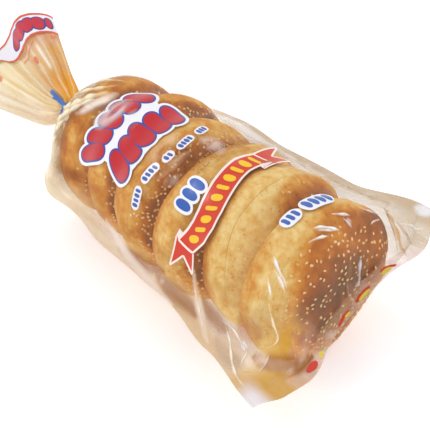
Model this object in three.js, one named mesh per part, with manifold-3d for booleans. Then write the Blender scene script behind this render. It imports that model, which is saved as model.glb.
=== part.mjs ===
// A film bag of hamburger buns, lying on its side: six round buns stand on edge in
// one row inside a tube of clear film. The film is sealed flat at one end, stands out
// as a fin along each side, is gathered to a neck at the other end and held there by
// a twist tie, and fans out beyond it in a ruffled tail.
// Lengths are in millimetres and angles in degrees. +X runs along the row from the
// neck to the sealed end, +Z is up, and the bag rests on the plane z = 0.

import * as THREE from "three";
import { mergeVertices } from "three/addons/utils/BufferGeometryUtils.js";
import Module from "manifold-3d";

// ---- driving sizes ------------------------------------------------------------

// The buns, from the neck to the sealed end: where the heel of each one stands along
// the row, how far its axis lies off the middle, how high, and its radius.
const BUNS = [
  { heel: 33.0, side: -0.3, height: 47.9, radius: 48.4 },
  { heel: 74.5, side: 2.3, height: 49.2, radius: 51.2 },
  { heel: 112.4, side: -1.0, height: 48.6, radius: 50.8 },
  { heel: 151.5, side: -0.3, height: 49.0, radius: 51.6 },
  { heel: 191.5, side: 0.4, height: 48.4, radius: 50.2 },
  { heel: 228.0, side: -1.5, height: 48.6, radius: 49.4 },
];
const RIM = 15.6; // from a bun's heel to where it is widest
const FILM_GAP = 0.6; // film over the widest place of a bun
const DIP = 2.6; // how far the film sinks in between two buns

// The neck, where the film is gathered. Close to it the film swells by the collar.
const NECK = { x: -18, side: -1, height: 48, radius: 6.5, half: 2.4, collar: 3 };
const SHOULDER_POWER = 1.35; // over 1 makes the shoulder behind the neck a cone
const SHOULDER_ENDS = 4; // before the first bun's widest place

// The flat fins that the film makes on both sides: half widths along the row.
const FINS = [
  { x: 66, left: 65, right: 73 },
  { x: 120, left: 68, right: 75 },
  { x: 190, left: 70, right: 76.5 },
  { x: 240, left: 76, right: 92 },
  { x: 290, left: 84, right: 103 },
];
const FIN_START = 1.06; // over 1 lets the fins widen later behind the neck
const FIN_POWER = 1.6; // over 1 hollows the slope from the buns down to a fin
const FIN_EDGE = 0.7; // half thickness of the film layers near an edge
const BODY_ROLL = 8.3; // the right fin lies higher than the left one

// The sealed end.
const END = {
  start: 238, // from here the film closes over the last bun
  seal: 275, // where the seal crosses the middle of the bag
  skew: -0.25, // how much the seal slants across the bag
  // The flat ears: how far one reaches past the seal's middle, where it reaches
  // furthest as a share of the half width, and how far its corner draws back.
  left: { ear: 7.5, at: 0.57, corner: 7 },
  right: { ear: 8, at: 0.63, corner: 2 },
  earWidth: 0.22,
  flap: 10, // how much of the end is flat
  roundness: 2.1, // 2 would close the rest as an ellipse
};

// The tail beyond the neck.
const TAIL = {
  length: 92, // along its two edges
  bulge: 31, // how much longer it is in the middle
  rise: 3, // the tail's slope above the level
  yaw: 4.3, // and its turn to the right
  roll: 45, // its fan is turned this far out of the level, right side up
  neckRoll: 31, // and this far at the neck
  spreadRight: 20.5, // how far the fan's edges run apart on each side
  spreadLeft: 14.5,
  collar: 6, // how much the film swells sideways close to the neck
  collarLeft: 5, // and how much more on the left
  swell: 2, // how much it swells up and down there
  ruffles: 2.2, // waves across the fan
  shift: 4.2, // where the waves start, in radians
  ruffle: 4.5, // half height of the waves at the mouth
  edge: 1.3, // half thickness of the two film layers at the mouth
  uneven: 1.5, // how much the mouth's edge goes in and out
};

// Pleats that run out from the neck, and long soft folds along the bag.
const PLEATS = { count: 11, depth: 2.2, tailDepth: 1.2, reach: 26 };
const FOLDS = { depth: 0.7, count: 3, turn: 2.2 };

// The twist tie: a band round the neck and two free ends twisted together.
const TIE = {
  width: 3.4,
  thick: 1.0,
  gap: 0.35, // clear of the film
  twist: 6.5, // length of the twisted part
  end: 13.5, // length of the end that stands out along the tail
  short: 5, // length of the other end
  sides: 8,
};

// How finely the film is divided.
const AROUND = 48;
const TAIL_STEPS = 17;
const BODY_STEPS = 56;
const END_STEPS = 9;
const CLOSER = 1.3; // over 1 crowds the steps near the neck

// The origin: under the middle of the bag's box.
const ORIGIN = { x: 75.68, side: 2.93 };

// ---- helpers -----------------------------------------------------------------

const rad = THREE.MathUtils.degToRad;
const lerp = THREE.MathUtils.lerp;
const smooth = THREE.MathUtils.smoothstep;

// Values given at a few stations along the row, eased from one to the next.
function along(stations, x, at, value) {
  if (x <= at(stations[0])) return value(stations[0]);
  for (let i = 1; i < stations.length; i++) {
    const a = stations[i - 1];
    const b = stations[i];
    if (x <= at(b)) return lerp(value(a), value(b), smooth(x, at(a), at(b)));
  }
  return value(stations[stations.length - 1]);
}

const rimOf = (bun) => bun.heel + RIM;

// How far x is from one bun's rim to the next, from 0 to 1, or 0 outside the row.
function betweenRims(x) {
  const i = BUNS.findIndex((bun) => rimOf(bun) > x);
  if (i < 1) return 0;
  return (x - rimOf(BUNS[i - 1])) / (rimOf(BUNS[i]) - rimOf(BUNS[i - 1]));
}

// ---- the film's surface --------------------------------------------------------

// Sections of the film run round it by an angle: 0 is the right edge, 90 the top, 180
// the left edge and 270 the bottom.

const BODY_START = NECK.x + NECK.half;

// The film's radius close to the neck.
function collarRadius(away) {
  return NECK.radius + NECK.collar * smooth(away, 0, 2.5);
}

// Half of the flat width, on the right side where across is over 0, else on the left.
function finWidth(x, across) {
  const side = (s) => (across > 0 ? s.right : s.left);
  const full = along(FINS, x, (s) => s.x, side);
  const f = THREE.MathUtils.clamp((x - BODY_START) / (FINS[0].x - BODY_START), 0, 1);
  const spread = Math.sin((Math.PI / 2) * f ** FIN_START);
  return lerp(collarRadius(x - BODY_START), full, spread);
}

// The radius of the film where it hugs the buns.
function hugRadius(x) {
  const first = rimOf(BUNS[0]) - SHOULDER_ENDS;
  const f = THREE.MathUtils.clamp((x - BODY_START) / (first - BODY_START), 0, 1);
  const full = along(BUNS, x, rimOf, (bun) => bun.radius) + FILM_GAP;
  const dip = DIP * Math.sin(Math.PI * betweenRims(x)) ** 2;
  const swell = Math.sin((Math.PI / 2) * f ** SHOULDER_POWER);
  return lerp(collarRadius(x - BODY_START), full - dip, swell);
}

// Half the height of an eye-shaped section of a given radius and half width, at a
// distance from its middle: a round middle that runs out into a hollow slope.
function eyeHeight(radius, half, distance) {
  const p = FIN_POWER;
  const root = Math.sqrt(half * half + 4 * (p - 1) * p * radius * radius);
  const meet = Math.min((root - half) / (2 * (p - 1)), 0.9995 * radius);
  if (distance <= meet) return Math.sqrt(radius * radius - distance * distance);
  const rise = Math.sqrt(radius * radius - meet * meet);
  return rise * Math.max(0, 1 - (distance - meet) / (half - meet)) ** p;
}

// How far pleats and folds lift the film at a place on the body.
function relief(x, angle) {
  const pleat = Math.cos(PLEATS.count * angle + 0.4 * Math.sin(2 * angle));
  const away = x - BODY_START;
  const depth = PLEATS.depth * Math.exp(-away / PLEATS.reach) * smooth(away, 0, 3);
  const turn = rad(FOLDS.turn) * x;
  const fold = Math.sin(FOLDS.count * angle + turn) * Math.sin(7 * angle - turn);
  return depth * pleat + FOLDS.depth * smooth(x, 20, 60) * fold;
}

// The line of the seal across the bag, where across runs from -1 to 1.
function sealX(across) {
  const out = Math.abs(across);
  const y = across * finWidth(FINS.at(-1).x, across);
  const side = across > 0 ? END.right : END.left;
  const ear = side.ear * Math.exp(-(((out - side.at) / END.earWidth) ** 2));
  return END.seal + END.skew * y + ear - side.corner * smooth(out, 0.8, 1);
}

// How open the film still is at a share of the way to the seal.
function openness(closing, across) {
  const reach = sealX(across) - END.start;
  const share = THREE.MathUtils.clamp((closing * reach) / (reach - END.flap), 0, 1);
  return (1 - share ** END.roundness) ** (1 / END.roundness);
}

// The middles of the sections, from the neck on: side and height.
const CENTRES = [{ heel: BODY_START - RIM, side: NECK.side, height: NECK.height }, ...BUNS];

// The body's section at x, which the end's sections carry on from 0 to 1 at the seal.
function bodyPoint(x, angle, closing = 0) {
  const across = Math.cos(angle);
  const lift = Math.sin(angle);
  const place = lerp(x, sealX(across), closing);
  const radius = hugRadius(x);
  const half = Math.max(finWidth(place, across), radius);
  const edge = Math.abs(lift) ** 0.5; // 0 on both fins
  const y = across * half;
  const full = eyeHeight(radius, half, Math.abs(y)) + relief(x, angle) * edge;
  const layers = FIN_EDGE * edge * smooth(x - BODY_START, 0, 3);
  const z = Math.sign(lift) * (Math.max(full * openness(closing, across), 0) + layers);
  const roll = rad(lerp(TAIL.neckRoll, BODY_ROLL, smooth(x, BODY_START, 40)));
  return new THREE.Vector3(
    place,
    along(CENTRES, x, rimOf, (c) => c.side) + y * Math.cos(roll) - z * Math.sin(roll),
    Math.max(0, along(CENTRES, x, rimOf, (c) => c.height)
      + y * Math.sin(roll) + z * Math.cos(roll)),
  );
}

// The tail's own directions: out of the neck, and level to its right.
const TAIL_WAY = new THREE.Vector3(-1, 0, 0)
  .applyAxisAngle(new THREE.Vector3(0, 0, 1), -rad(TAIL.yaw))
  .applyAxisAngle(new THREE.Vector3(0, 1, 0), rad(TAIL.rise));
const TAIL_LEVEL = new THREE.Vector3(0, 1, 0)
  .addScaledVector(TAIL_WAY, -TAIL_WAY.y)
  .normalize();

// The tail's section, at a fraction of its length from the neck.
function tailPoint(f, angle) {
  const roll = rad(lerp(TAIL.neckRoll, TAIL.roll, smooth(f, 0, 0.3)));
  const right = TAIL_LEVEL.clone().applyAxisAngle(TAIL_WAY, -roll);
  const up = right.clone().cross(TAIL_WAY);
  const across = Math.cos(angle);
  const spread = across > 0 ? TAIL.spreadRight : TAIL.spreadLeft;
  const fan = rad(spread) * across * smooth(f, 0, 0.12);
  const length = TAIL.length + TAIL.bulge * (1 - across ** 4)
    + TAIL.uneven * Math.sin(7 * across + 0.6);
  const wave = TAIL.ruffle * f ** 1.15
    * Math.sin(Math.PI * TAIL.ruffles * across + TAIL.shift);
  const left = across < 0 ? TAIL.collarLeft * smooth(f, 0, 0.08) * across ** 2 : 0;
  const half = NECK.radius + TAIL.collar * smooth(f, 0, 0.03) + left;
  const pleat = PLEATS.tailDepth * smooth(f, 0, 0.06) * Math.cos(PLEATS.count * angle);
  const full = NECK.radius + TAIL.swell * smooth(f, 0, 0.03) + pleat;
  const thick = lerp(full, TAIL.edge, smooth(f, 0.02, 0.42));
  return new THREE.Vector3(NECK.x - NECK.half, NECK.side, NECK.height)
    .addScaledVector(TAIL_WAY, length * f * Math.cos(fan))
    .addScaledVector(right, half * across + length * f * Math.sin(fan))
    .addScaledVector(up, wave * (1 - across ** 6) + thick * Math.sin(angle));
}

// ---- the bag -------------------------------------------------------------------

// Rings of points from the tail's mouth to the seal.
function filmRings() {
  const angles = Array.from({ length: AROUND }, (_, j) => (2 * Math.PI * j) / AROUND);
  const rings = [];
  for (let i = TAIL_STEPS; i >= 0; i--)
    rings.push(angles.map((angle) => tailPoint((i / TAIL_STEPS) ** CLOSER, angle)));
  for (let i = 0; i <= BODY_STEPS; i++) {
    const x = lerp(BODY_START, END.start, (i / BODY_STEPS) ** CLOSER);
    rings.push(angles.map((angle) => bodyPoint(x, angle)));
  }
  for (let i = 1; i <= END_STEPS; i++) {
    const closing = Math.sin((Math.PI / 2) * (i / END_STEPS));
    rings.push(angles.map((angle) => bodyPoint(END.start, angle, closing)));
  }
  return rings;
}

// A closed skin over rings of equal length, each end closed across its flat ring.
function skinOver(rings) {
  const count = rings[0].length;
  const last = rings.length - 1;
  const faces = [];
  const quad = (a, b, c, d) => faces.push(a, b, c, a, c, d);
  for (let i = 0; i < last; i++)
    for (let j = 0; j < count; j++) {
      const k = (j + 1) % count;
      quad(i * count + j, i * count + k, (i + 1) * count + k, (i + 1) * count + j);
    }
  for (let j = 0; j < count / 2; j++) {
    const top = [j, j + 1];
    const under = [(count - j) % count, count - j - 1];
    const end = last * count;
    quad(top[1], top[0], under[0], under[1]);
    quad(end + top[0], end + top[1], end + under[1], end + under[0]);
  }
  const geometry = new THREE.BufferGeometry().setFromPoints(rings.flat());
  geometry.setIndex(faces);
  return geometry;
}

// ---- the twist tie ---------------------------------------------------------------

// Out of the neck on the side where the tie's twist sits, which is the fan's upper face.
const TIE_OUT = new THREE.Vector3(0, -Math.sin(rad(TAIL.roll)), Math.cos(rad(TAIL.roll)));
const TIE_WAY = new THREE.Vector3(-1, 0, 0);
const TIE_ASIDE = new THREE.Vector3().crossVectors(TIE_OUT, TIE_WAY);

// A place some way along the tail, out from the neck's middle and to the left.
function byNeck(distance, out, aside = 0) {
  return new THREE.Vector3(NECK.x, NECK.side, NECK.height)
    .addScaledVector(TIE_WAY, distance)
    .addScaledVector(TIE_OUT, out)
    .addScaledVector(TIE_ASIDE, aside);
}

// A flat strip with rounded edges, swept along a smooth curve through some points.
function strip(points, steps) {
  const section = new THREE.Shape();
  const w = TIE.width / 2;
  const t = TIE.thick / 2;
  section.moveTo(-t, -w);
  section.quadraticCurveTo(0, -w - t, t, -w);
  section.lineTo(t, w);
  section.quadraticCurveTo(0, w + t, -t, w);
  section.closePath();
  const path = new THREE.CatmullRomCurve3(points);
  return new THREE.ExtrudeGeometry(section, { steps, curveSegments: 3, extrudePath: path });
}

// The band round the neck: a flat ring with a slightly raised middle.
function bandRound() {
  const inner = NECK.radius + TIE.gap;
  const outer = inner + TIE.thick;
  const w = TIE.width / 2;
  const profile = [
    [inner, -w], [outer, -w], [outer + 0.2, 0], [outer, w], [inner, w], [inner, -w],
  ].map(([r, h]) => new THREE.Vector2(r, h));
  const band = new THREE.LatheGeometry(profile, 28);
  band.rotateZ(-Math.PI / 2);
  band.translate(NECK.x, NECK.side, NECK.height);
  return band;
}

// The two ends twisted together: a short rod with a spiral ridge.
function twistRod(from, to, turns = 1.5, steps = 10) {
  const way = to.clone().sub(from).normalize();
  const a = new THREE.Vector3().crossVectors(way, TIE_ASIDE).normalize();
  const b = new THREE.Vector3().crossVectors(way, a);
  const rings = [];
  for (let i = 0; i <= steps; i++)
    rings.push(Array.from({ length: TIE.sides }, (_, j) => {
      const angle = (2 * Math.PI * j) / TIE.sides;
      const ridge = Math.cos(2 * (angle - (turns * Math.PI * i) / steps));
      const r = TIE.thick * (1.35 + 0.35 * ridge);
      return from.clone().lerp(to, i / steps)
        .addScaledVector(a, r * Math.cos(angle))
        .addScaledVector(b, r * Math.sin(angle));
    }));
  return skinOver(rings);
}

const wasm = await Module();
wasm.setup();

// A closed geometry as a solid for joining, with its shared points merged.
function solidOf(geometry) {
  const bare = geometry.clone();
  bare.deleteAttribute("normal");
  bare.deleteAttribute("uv");
  const merged = mergeVertices(bare, 1e-4);
  const mesh = new wasm.Mesh({
    numProp: 3,
    vertProperties: new Float32Array(merged.attributes.position.array),
    triVerts: new Uint32Array(merged.index.array),
  });
  return new wasm.Manifold(mesh);
}

function geometryOf(solid) {
  const mesh = solid.getMesh();
  const geometry = new THREE.BufferGeometry();
  geometry.setAttribute("position", new THREE.BufferAttribute(mesh.vertProperties, 3));
  geometry.setIndex(new THREE.BufferAttribute(mesh.triVerts, 1));
  return geometry;
}

function twistTie() {
  const out = NECK.radius + TIE.gap + TIE.thick;
  const rod = twistRod(byNeck(-0.8, out + 1.3), byNeck(TIE.twist, out + 4.2));
  const long = strip([
    byNeck(TIE.twist - 2, out + 3.8),
    byNeck(TIE.twist + 0.3 * TIE.end, out + 4.1, -0.6),
    byNeck(TIE.twist + TIE.end, out + 3.4, -2.5),
  ], 8);
  const short = strip([
    byNeck(TIE.twist - 2, out + 3.8),
    byNeck(TIE.twist + 0.4 * TIE.short, out + 3.9, 1),
    byNeck(TIE.twist + TIE.short, out + 4.4, 2.6),
  ], 4);
  return geometryOf([rod, long, short].map(solidOf)
    .reduce((whole, piece) => whole.add(piece), solidOf(bandRound())));
}

// ---- the pack ----------------------------------------------------------------------

const filmLook = new THREE.MeshStandardMaterial({
  color: 0xe9d3a4,
  roughness: 0.22,
  metalness: 0,
});
const tieLook = new THREE.MeshStandardMaterial({
  color: 0x2f5fb3,
  roughness: 0.5,
  metalness: 0,
});

function named(name, geometry, material) {
  const mesh = new THREE.Mesh(geometry, material);
  mesh.name = name;
  return mesh;
}

const pack = new THREE.Group();
pack.add(named("bag", skinOver(filmRings()), filmLook));
pack.add(named("twist_tie", twistTie(), tieLook));
pack.position.set(-ORIGIN.x, -ORIGIN.side, 0);

export default pack;
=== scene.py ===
import math

import bpy
import numpy as np
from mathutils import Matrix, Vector
from mathutils.bvhtree import BVHTree


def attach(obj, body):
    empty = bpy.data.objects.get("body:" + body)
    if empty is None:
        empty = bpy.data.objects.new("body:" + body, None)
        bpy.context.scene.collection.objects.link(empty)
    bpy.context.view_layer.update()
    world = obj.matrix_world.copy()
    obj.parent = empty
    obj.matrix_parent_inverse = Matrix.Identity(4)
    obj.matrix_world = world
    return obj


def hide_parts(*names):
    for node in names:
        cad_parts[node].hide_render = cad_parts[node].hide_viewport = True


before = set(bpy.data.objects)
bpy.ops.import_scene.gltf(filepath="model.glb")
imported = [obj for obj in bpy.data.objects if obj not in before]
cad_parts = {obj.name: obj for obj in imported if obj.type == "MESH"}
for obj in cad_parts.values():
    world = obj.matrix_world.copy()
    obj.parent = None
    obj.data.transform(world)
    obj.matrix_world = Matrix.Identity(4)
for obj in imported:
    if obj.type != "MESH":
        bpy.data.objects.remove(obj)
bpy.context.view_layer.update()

# A clear film bag of six sesame hamburger buns that lies on its side. The frame gives
# the solid bag and the twist tie. Here the solid bag gives way to printed film, the
# buns inside it, their seeds and the film's folds.
# Lengths are in millimetres along the row of buns until a mesh is made: X runs from
# the neck to the sealed end, Z is up. Angles run round the film: 0 is its right edge,
# 90 degrees the top, 180 the left edge and 270 the bottom.

# ---- sizes of the bag ----------------------------------------------------------------

# The buns, from the neck on: heel's place, side, height of the axis, radius, turn to
# the side and nod of the crown in degrees, height of the crown and its bluntness.
BUNS = [
    (33.0, -0.3, 47.9, 48.4, 6.9, -2.4, 40.0, 0.80),
    (74.5, 2.3, 49.2, 51.2, -0.6, -0.4, 40.0, 0.80),
    (112.4, -1.0, 48.6, 50.8, -3.4, 0.5, 40.0, 0.80),
    (151.5, -0.3, 49.0, 51.6, -0.9, 7.1, 40.0, 0.80),
    (191.5, 0.4, 48.4, 50.2, 5.8, -4.8, 40.0, 0.80),
    (228.0, -1.5, 48.6, 49.4, 3.5, 3.7, 33.5, 0.64),
]
RIM = 15.6  # from a bun's heel to where it is widest
LAST_WIDER = 0.10  # how much wider the last bun is on its right
FILM_GAP = 0.6  # between the buns and the film
DIP = 2.6  # how far the film dips between two buns

# The gathered neck, the collar where the film leaves it and the shoulder that it makes.
NECK_X, NECK_SIDE, NECK_HEIGHT, NECK_RADIUS, NECK_HALF, COLLAR = -18, -1, 48, 6.5, 2.4, 3
BODY_START = NECK_X + NECK_HALF
SHOULDER_POWER, SHOULDER_ENDS = 1.35, 4

# Half the film's width with its fins, at places along the row.
FIN_X = [66, 120, 190, 240, 290]
FIN_LEFT = [65, 68, 70, 76, 84]
FIN_RIGHT = [73, 75, 76.5, 92, 103]
FIN_START, FIN_POWER, FIN_EDGE = 1.06, 1.6, 0.7
BODY_ROLL = 8.3

# The end: where the film starts to close, the seal, its slant, how wide its flat flap is.
END_START, SEAL, SKEW, FLAP, END_ROUNDNESS = 238, 275, -0.25, 10, 2.1
EAR_LEFT = (7.5, 0.57, 7)  # reach, place across, how far the corner draws back
EAR_RIGHT = (8, 0.63, 2)
EAR_WIDTH = 0.22

# The tail: its length, turns and spread in degrees, the neck's collar and its ruffles.
TAIL_LENGTH, TAIL_BULGE, TAIL_UNEVEN = 92, 31, 1.5
TAIL_RISE, TAIL_YAW, TAIL_ROLL, NECK_ROLL = 3, 4.3, 45, 31
SPREAD_RIGHT, SPREAD_LEFT = 20.5, 14.5
TAIL_COLLAR, TAIL_COLLAR_LEFT, TAIL_SWELL, TAIL_EDGE = 6, 5, 2, 1.3
RUFFLES, RUFFLE_SHIFT, RUFFLE = 2.2, 4.2, 4.5
# Pleats by the neck and long soft folds over the body.
PLEATS, PLEAT_DEPTH, PLEAT_TAIL, PLEAT_REACH = 11, 2.2, 1.2, 26
FOLD_DEPTH, FOLD_COUNT, FOLD_TURN = 0.7, 3, 2.2
# Finer than the solid has: sharp pleats, and pulled wrinkles where the fins start.
FINE_PLEATS, FINE_DEPTH, TAIL_CREASES, TAIL_CREASE = 24, 0.5, 7, 1.5
PULL_STEP, PULL_DEPTH = 17, 0.8
TAIL_REACH, TAIL_HALF = 120, 50  # about how far the tail reaches out and to the right

ORIGIN = np.array([75.68, 2.93, 0.0])  # of the frame

AROUND = 240  # points round the film
TAIL_STEPS, BODY_STEPS, END_STEPS = 70, 200, 40  # rows of points along it
TAIL_CROWDED, BODY_CROWDED = 1.3, 1.2  # over 1 sets rows closer by the neck

# ---- small helpers -------------------------------------------------------------------


def smooth(x, low, high):
    """0 below low and 1 over high, eased between."""
    t = np.clip((np.asarray(x, float) - low) / (high - low), 0, 1)
    return t * t * (3 - 2 * t)


def lerp(a, b, t):
    """From a to b as t goes from 0 to 1."""
    return a + (b - a) * t


def along(stations, values, x):
    """Values given at a few stations along the row, eased from one to the next."""
    x = np.asarray(x, float)
    out = np.full(x.shape, float(values[0]))
    for i in range(1, len(stations)):
        value = lerp(values[i - 1], values[i], smooth(x, stations[i - 1], stations[i]))
        out = np.where(x > stations[i - 1], value, out)
    return out


def waves(points, length, seed, count=14):
    """Smooth noise of about -1 to 1: waves of one length in many directions."""
    rng = np.random.default_rng(seed)
    ways = unit(rng.normal(size=(count, 3)))
    ways *= 2 * np.pi / length * rng.uniform(0.7, 1.4, (count, 1))
    starts = rng.uniform(0, 2 * np.pi, count)
    return np.sin(np.asarray(points) @ ways.T + starts).sum(-1) * (1.6 / count ** 0.5 / 1.4)


def unit(vectors):
    """Vectors of the same directions, 1 long."""
    return vectors / np.maximum(np.linalg.norm(vectors, axis=-1), 1e-9)[..., None]


def eased(values, times):
    """Rounds off a line of numbers or points in place and keeps its ends."""
    for _ in range(times):
        values[1:-1] = (values[:-2] + 2 * values[1:-1] + values[2:]) / 4


def path_lengths(line):
    """How far along a line each of its points lies."""
    return np.concatenate([[0], np.cumsum(np.linalg.norm(np.diff(line, axis=0), axis=1))])


def points_on(line, stations, s):
    """A line's points at the places s, where its own points lie at the stations."""
    line = np.array(line, float)
    return np.stack([np.interp(s, stations, values) for values in line.T], -1)


def turned(vector, axis, degrees):
    """A vector turned about an axis."""
    a = math.radians(degrees)
    axis = unit(np.array(axis, float))
    return (vector * math.cos(a) + np.cross(axis, vector) * math.sin(a)
            + axis * (axis @ vector) * (1 - math.cos(a)))


# ---- the film's surface --------------------------------------------------------------

BUN_TABLE = np.array(BUNS)
RIMS = BUN_TABLE[:, 0] + RIM
CENTRE_X = [BODY_START, *RIMS]
CENTRE_SIDE = [NECK_SIDE, *BUN_TABLE[:, 1]]
CENTRE_HEIGHT = [NECK_HEIGHT, *BUN_TABLE[:, 2]]


def collar_radius(away):
    """The film's radius where it leaves the neck."""
    return NECK_RADIUS + COLLAR * smooth(away, 0, 2.5)


def fin_width(x, across):
    """Half the film's width, with the fin."""
    full = np.where(across > 0, along(FIN_X, FIN_RIGHT, x), along(FIN_X, FIN_LEFT, x))
    f = np.clip((x - BODY_START) / (FIN_X[0] - BODY_START), 0, 1)
    return lerp(collar_radius(x - BODY_START), full, np.sin(np.pi / 2 * f ** FIN_START))


def hug_radius(x):
    """The radius of the film that hugs the buns, with a dip between two."""
    first = RIMS[0] - SHOULDER_ENDS
    f = np.clip((x - BODY_START) / (first - BODY_START), 0, 1)
    full = along(RIMS, BUN_TABLE[:, 3], x) + FILM_GAP
    between = np.interp(x, RIMS, range(len(RIMS)))
    dip = DIP * np.sin(np.pi * between) ** 2
    swell = np.sin(np.pi / 2 * f ** SHOULDER_POWER)
    return lerp(collar_radius(x - BODY_START), full - dip, swell)


def eye_height(radius, half, distance):
    """Half the height of the film's section: round on a bun, then drawn out to the fin."""
    p = FIN_POWER
    root = np.sqrt(half * half + 4 * (p - 1) * p * radius * radius)
    meet = np.minimum((root - half) / (2 * (p - 1)), 0.9995 * radius)
    rise = np.sqrt(radius ** 2 - meet ** 2)
    outer = rise * np.maximum(0, 1 - (distance - meet) / (half - meet)) ** p
    return np.where(distance <= meet, np.sqrt(np.maximum(radius ** 2 - distance ** 2, 0)), outer)


def relief(x, angle):
    """Pleats near the neck and long soft folds."""
    away = x - BODY_START
    depth = PLEAT_DEPTH * np.exp(-away / PLEAT_REACH) * smooth(away, 0, 3)
    turn = np.radians(FOLD_TURN) * x
    fold = np.sin(FOLD_COUNT * angle + turn) * np.sin(7 * angle - turn)
    pleat = np.cos(PLEATS * angle + 0.4 * np.sin(2 * angle))
    sharp = 0.55 - np.abs(np.sin(FINE_PLEATS / 2 * angle + 0.8 * np.sin(angle)))
    fine = FINE_DEPTH * np.exp(-away / 34) * smooth(away, 0, 3)
    fin = smooth(np.abs(np.cos(angle)), 0.62, 0.86) * smooth(x, 15, 60)
    pull = 0.6 - np.abs(np.sin(np.pi * x / PULL_STEP + 1.3 * np.sin(3 * angle)))
    return (depth * pleat + FOLD_DEPTH * smooth(x, 20, 60) * fold + fine * sharp
            + PULL_DEPTH * fin * pull)


def seal_x(across):
    """The seal, slanted and with an ear at each corner."""
    out = np.abs(across)
    y = across * fin_width(np.full(np.shape(across), float(FIN_X[-1])), across)
    reach, place, corner = (np.where(across > 0, r, l) for l, r in zip(EAR_LEFT, EAR_RIGHT))
    ear = reach * np.exp(-(((out - place) / EAR_WIDTH) ** 2))
    return SEAL + SKEW * y + ear - corner * smooth(out, 0.8, 1)


def openness(closing, across):
    """How open the film still is on its way to the seal."""
    reach = seal_x(across) - END_START
    share = np.clip(closing * reach / (reach - FLAP), 0, 1)
    return (1 - share ** END_ROUNDNESS) ** (1 / END_ROUNDNESS)


def body_point(x, angle, closing=0.0):
    """The film from the neck to the last bun, and on to the seal as closing goes to 1."""
    x, angle, closing = np.broadcast_arrays(
        np.asarray(x, float), np.asarray(angle, float), np.asarray(closing, float))
    across, up = np.cos(angle), np.sin(angle)
    place = lerp(x, seal_x(across), closing)
    radius = hug_radius(x)
    half = np.maximum(fin_width(place, across), radius)
    edge = np.abs(up) ** 0.5
    y = across * half
    full = eye_height(radius, half, np.abs(y)) + relief(x, angle) * edge
    layers = FIN_EDGE * edge * smooth(x - BODY_START, 0, 3)
    z = np.sign(up) * (np.maximum(full * openness(closing, across), 0) + layers)
    roll = np.radians(lerp(NECK_ROLL, BODY_ROLL, smooth(x, BODY_START, 40)))
    side = along(CENTRE_X, CENTRE_SIDE, x) + y * np.cos(roll) - z * np.sin(roll)
    height = along(CENTRE_X, CENTRE_HEIGHT, x) + y * np.sin(roll) + z * np.cos(roll)
    return np.stack([place, side, np.maximum(0, height)], -1)


TAIL_WAY = turned(turned(np.array([-1.0, 0, 0]), (0, 0, 1), -TAIL_YAW), (0, 1, 0), TAIL_RISE)
TAIL_LEVEL = unit(np.array([0, 1.0, 0]) - TAIL_WAY * TAIL_WAY[1])
TAIL_UP = np.cross(TAIL_LEVEL, TAIL_WAY)


def tail_point(f, angle):
    """The tail's film, at a fraction of its length from the neck."""
    f, angle = np.broadcast_arrays(np.asarray(f, float), np.asarray(angle, float))
    roll = np.radians(lerp(NECK_ROLL, TAIL_ROLL, smooth(f, 0, 0.3)))[..., None]
    right = np.cos(roll) * TAIL_LEVEL + np.sin(roll) * TAIL_UP
    up = np.cos(roll) * TAIL_UP - np.sin(roll) * TAIL_LEVEL
    across = np.cos(angle)
    fan = np.radians(np.where(across > 0, SPREAD_RIGHT, SPREAD_LEFT)) * across * smooth(f, 0, 0.12)
    length = tail_length(across)
    wave = RUFFLE * f ** 1.15 * np.sin(np.pi * RUFFLES * across + RUFFLE_SHIFT)
    left = np.where(across < 0, TAIL_COLLAR_LEFT * smooth(f, 0, 0.08) * across ** 2, 0)
    half = NECK_RADIUS + TAIL_COLLAR * smooth(f, 0, 0.03) + left
    pleat = PLEAT_TAIL * smooth(f, 0, 0.06) * np.cos(PLEATS * angle)
    sharp = 0.55 - np.abs(np.sin(np.pi * TAIL_CREASES * across + 2.0 * across ** 2))
    wave = wave + TAIL_CREASE * smooth(f, 0.04, 0.25) * sharp * (1 - 0.8 * smooth(f, 0.5, 0.8))
    full = NECK_RADIUS + TAIL_SWELL * smooth(f, 0, 0.03) + pleat
    thick = lerp(full, TAIL_EDGE, smooth(f, 0.02, 0.42))
    base = np.array([NECK_X - NECK_HALF, NECK_SIDE, NECK_HEIGHT], float)
    return (base + (length * f * np.cos(fan))[..., None] * TAIL_WAY
            + (half * across + length * f * np.sin(fan))[..., None] * right
            + (wave * (1 - across ** 6) + thick * np.sin(angle))[..., None] * up)


def tail_length(across):
    """The tail is longest in its middle, and its edge is uneven."""
    return TAIL_LENGTH + TAIL_BULGE * (1 - across ** 4) + TAIL_UNEVEN * np.sin(7 * across + 0.6)


def film_at(x, angle):
    """The film at a place along the row, from the neck to the seal."""
    closing = np.clip((x - END_START) / (seal_x(np.cos(angle)) - END_START), 0, 1)
    return body_point(np.minimum(x, END_START), angle, closing)


# Flat film coordinates, in which the printing is laid out: x along the row and u round
# the film from its top, to the right where u is over 0.
FLAT_X = np.arange(BODY_START + 4, SEAL + 20, 1.0)
FLAT_ANGLES = np.radians(np.linspace(-88, 268, 900))
FLAT_POINTS = film_at(FLAT_X[:, None], FLAT_ANGLES[None, :])
FLAT_U = np.array([path_lengths(row) for row in FLAT_POINTS])
FLAT_TOP = np.array([np.interp(np.pi / 2, FLAT_ANGLES, row) for row in FLAT_U])
FLAT_U = FLAT_TOP[:, None] - FLAT_U
FLAT_STEP = 0.5
FLAT_US = np.arange(-170, 240, FLAT_STEP)
FLAT_TABLE = np.array([np.interp(FLAT_US, row[::-1], FLAT_ANGLES[::-1]) for row in FLAT_U])


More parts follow.
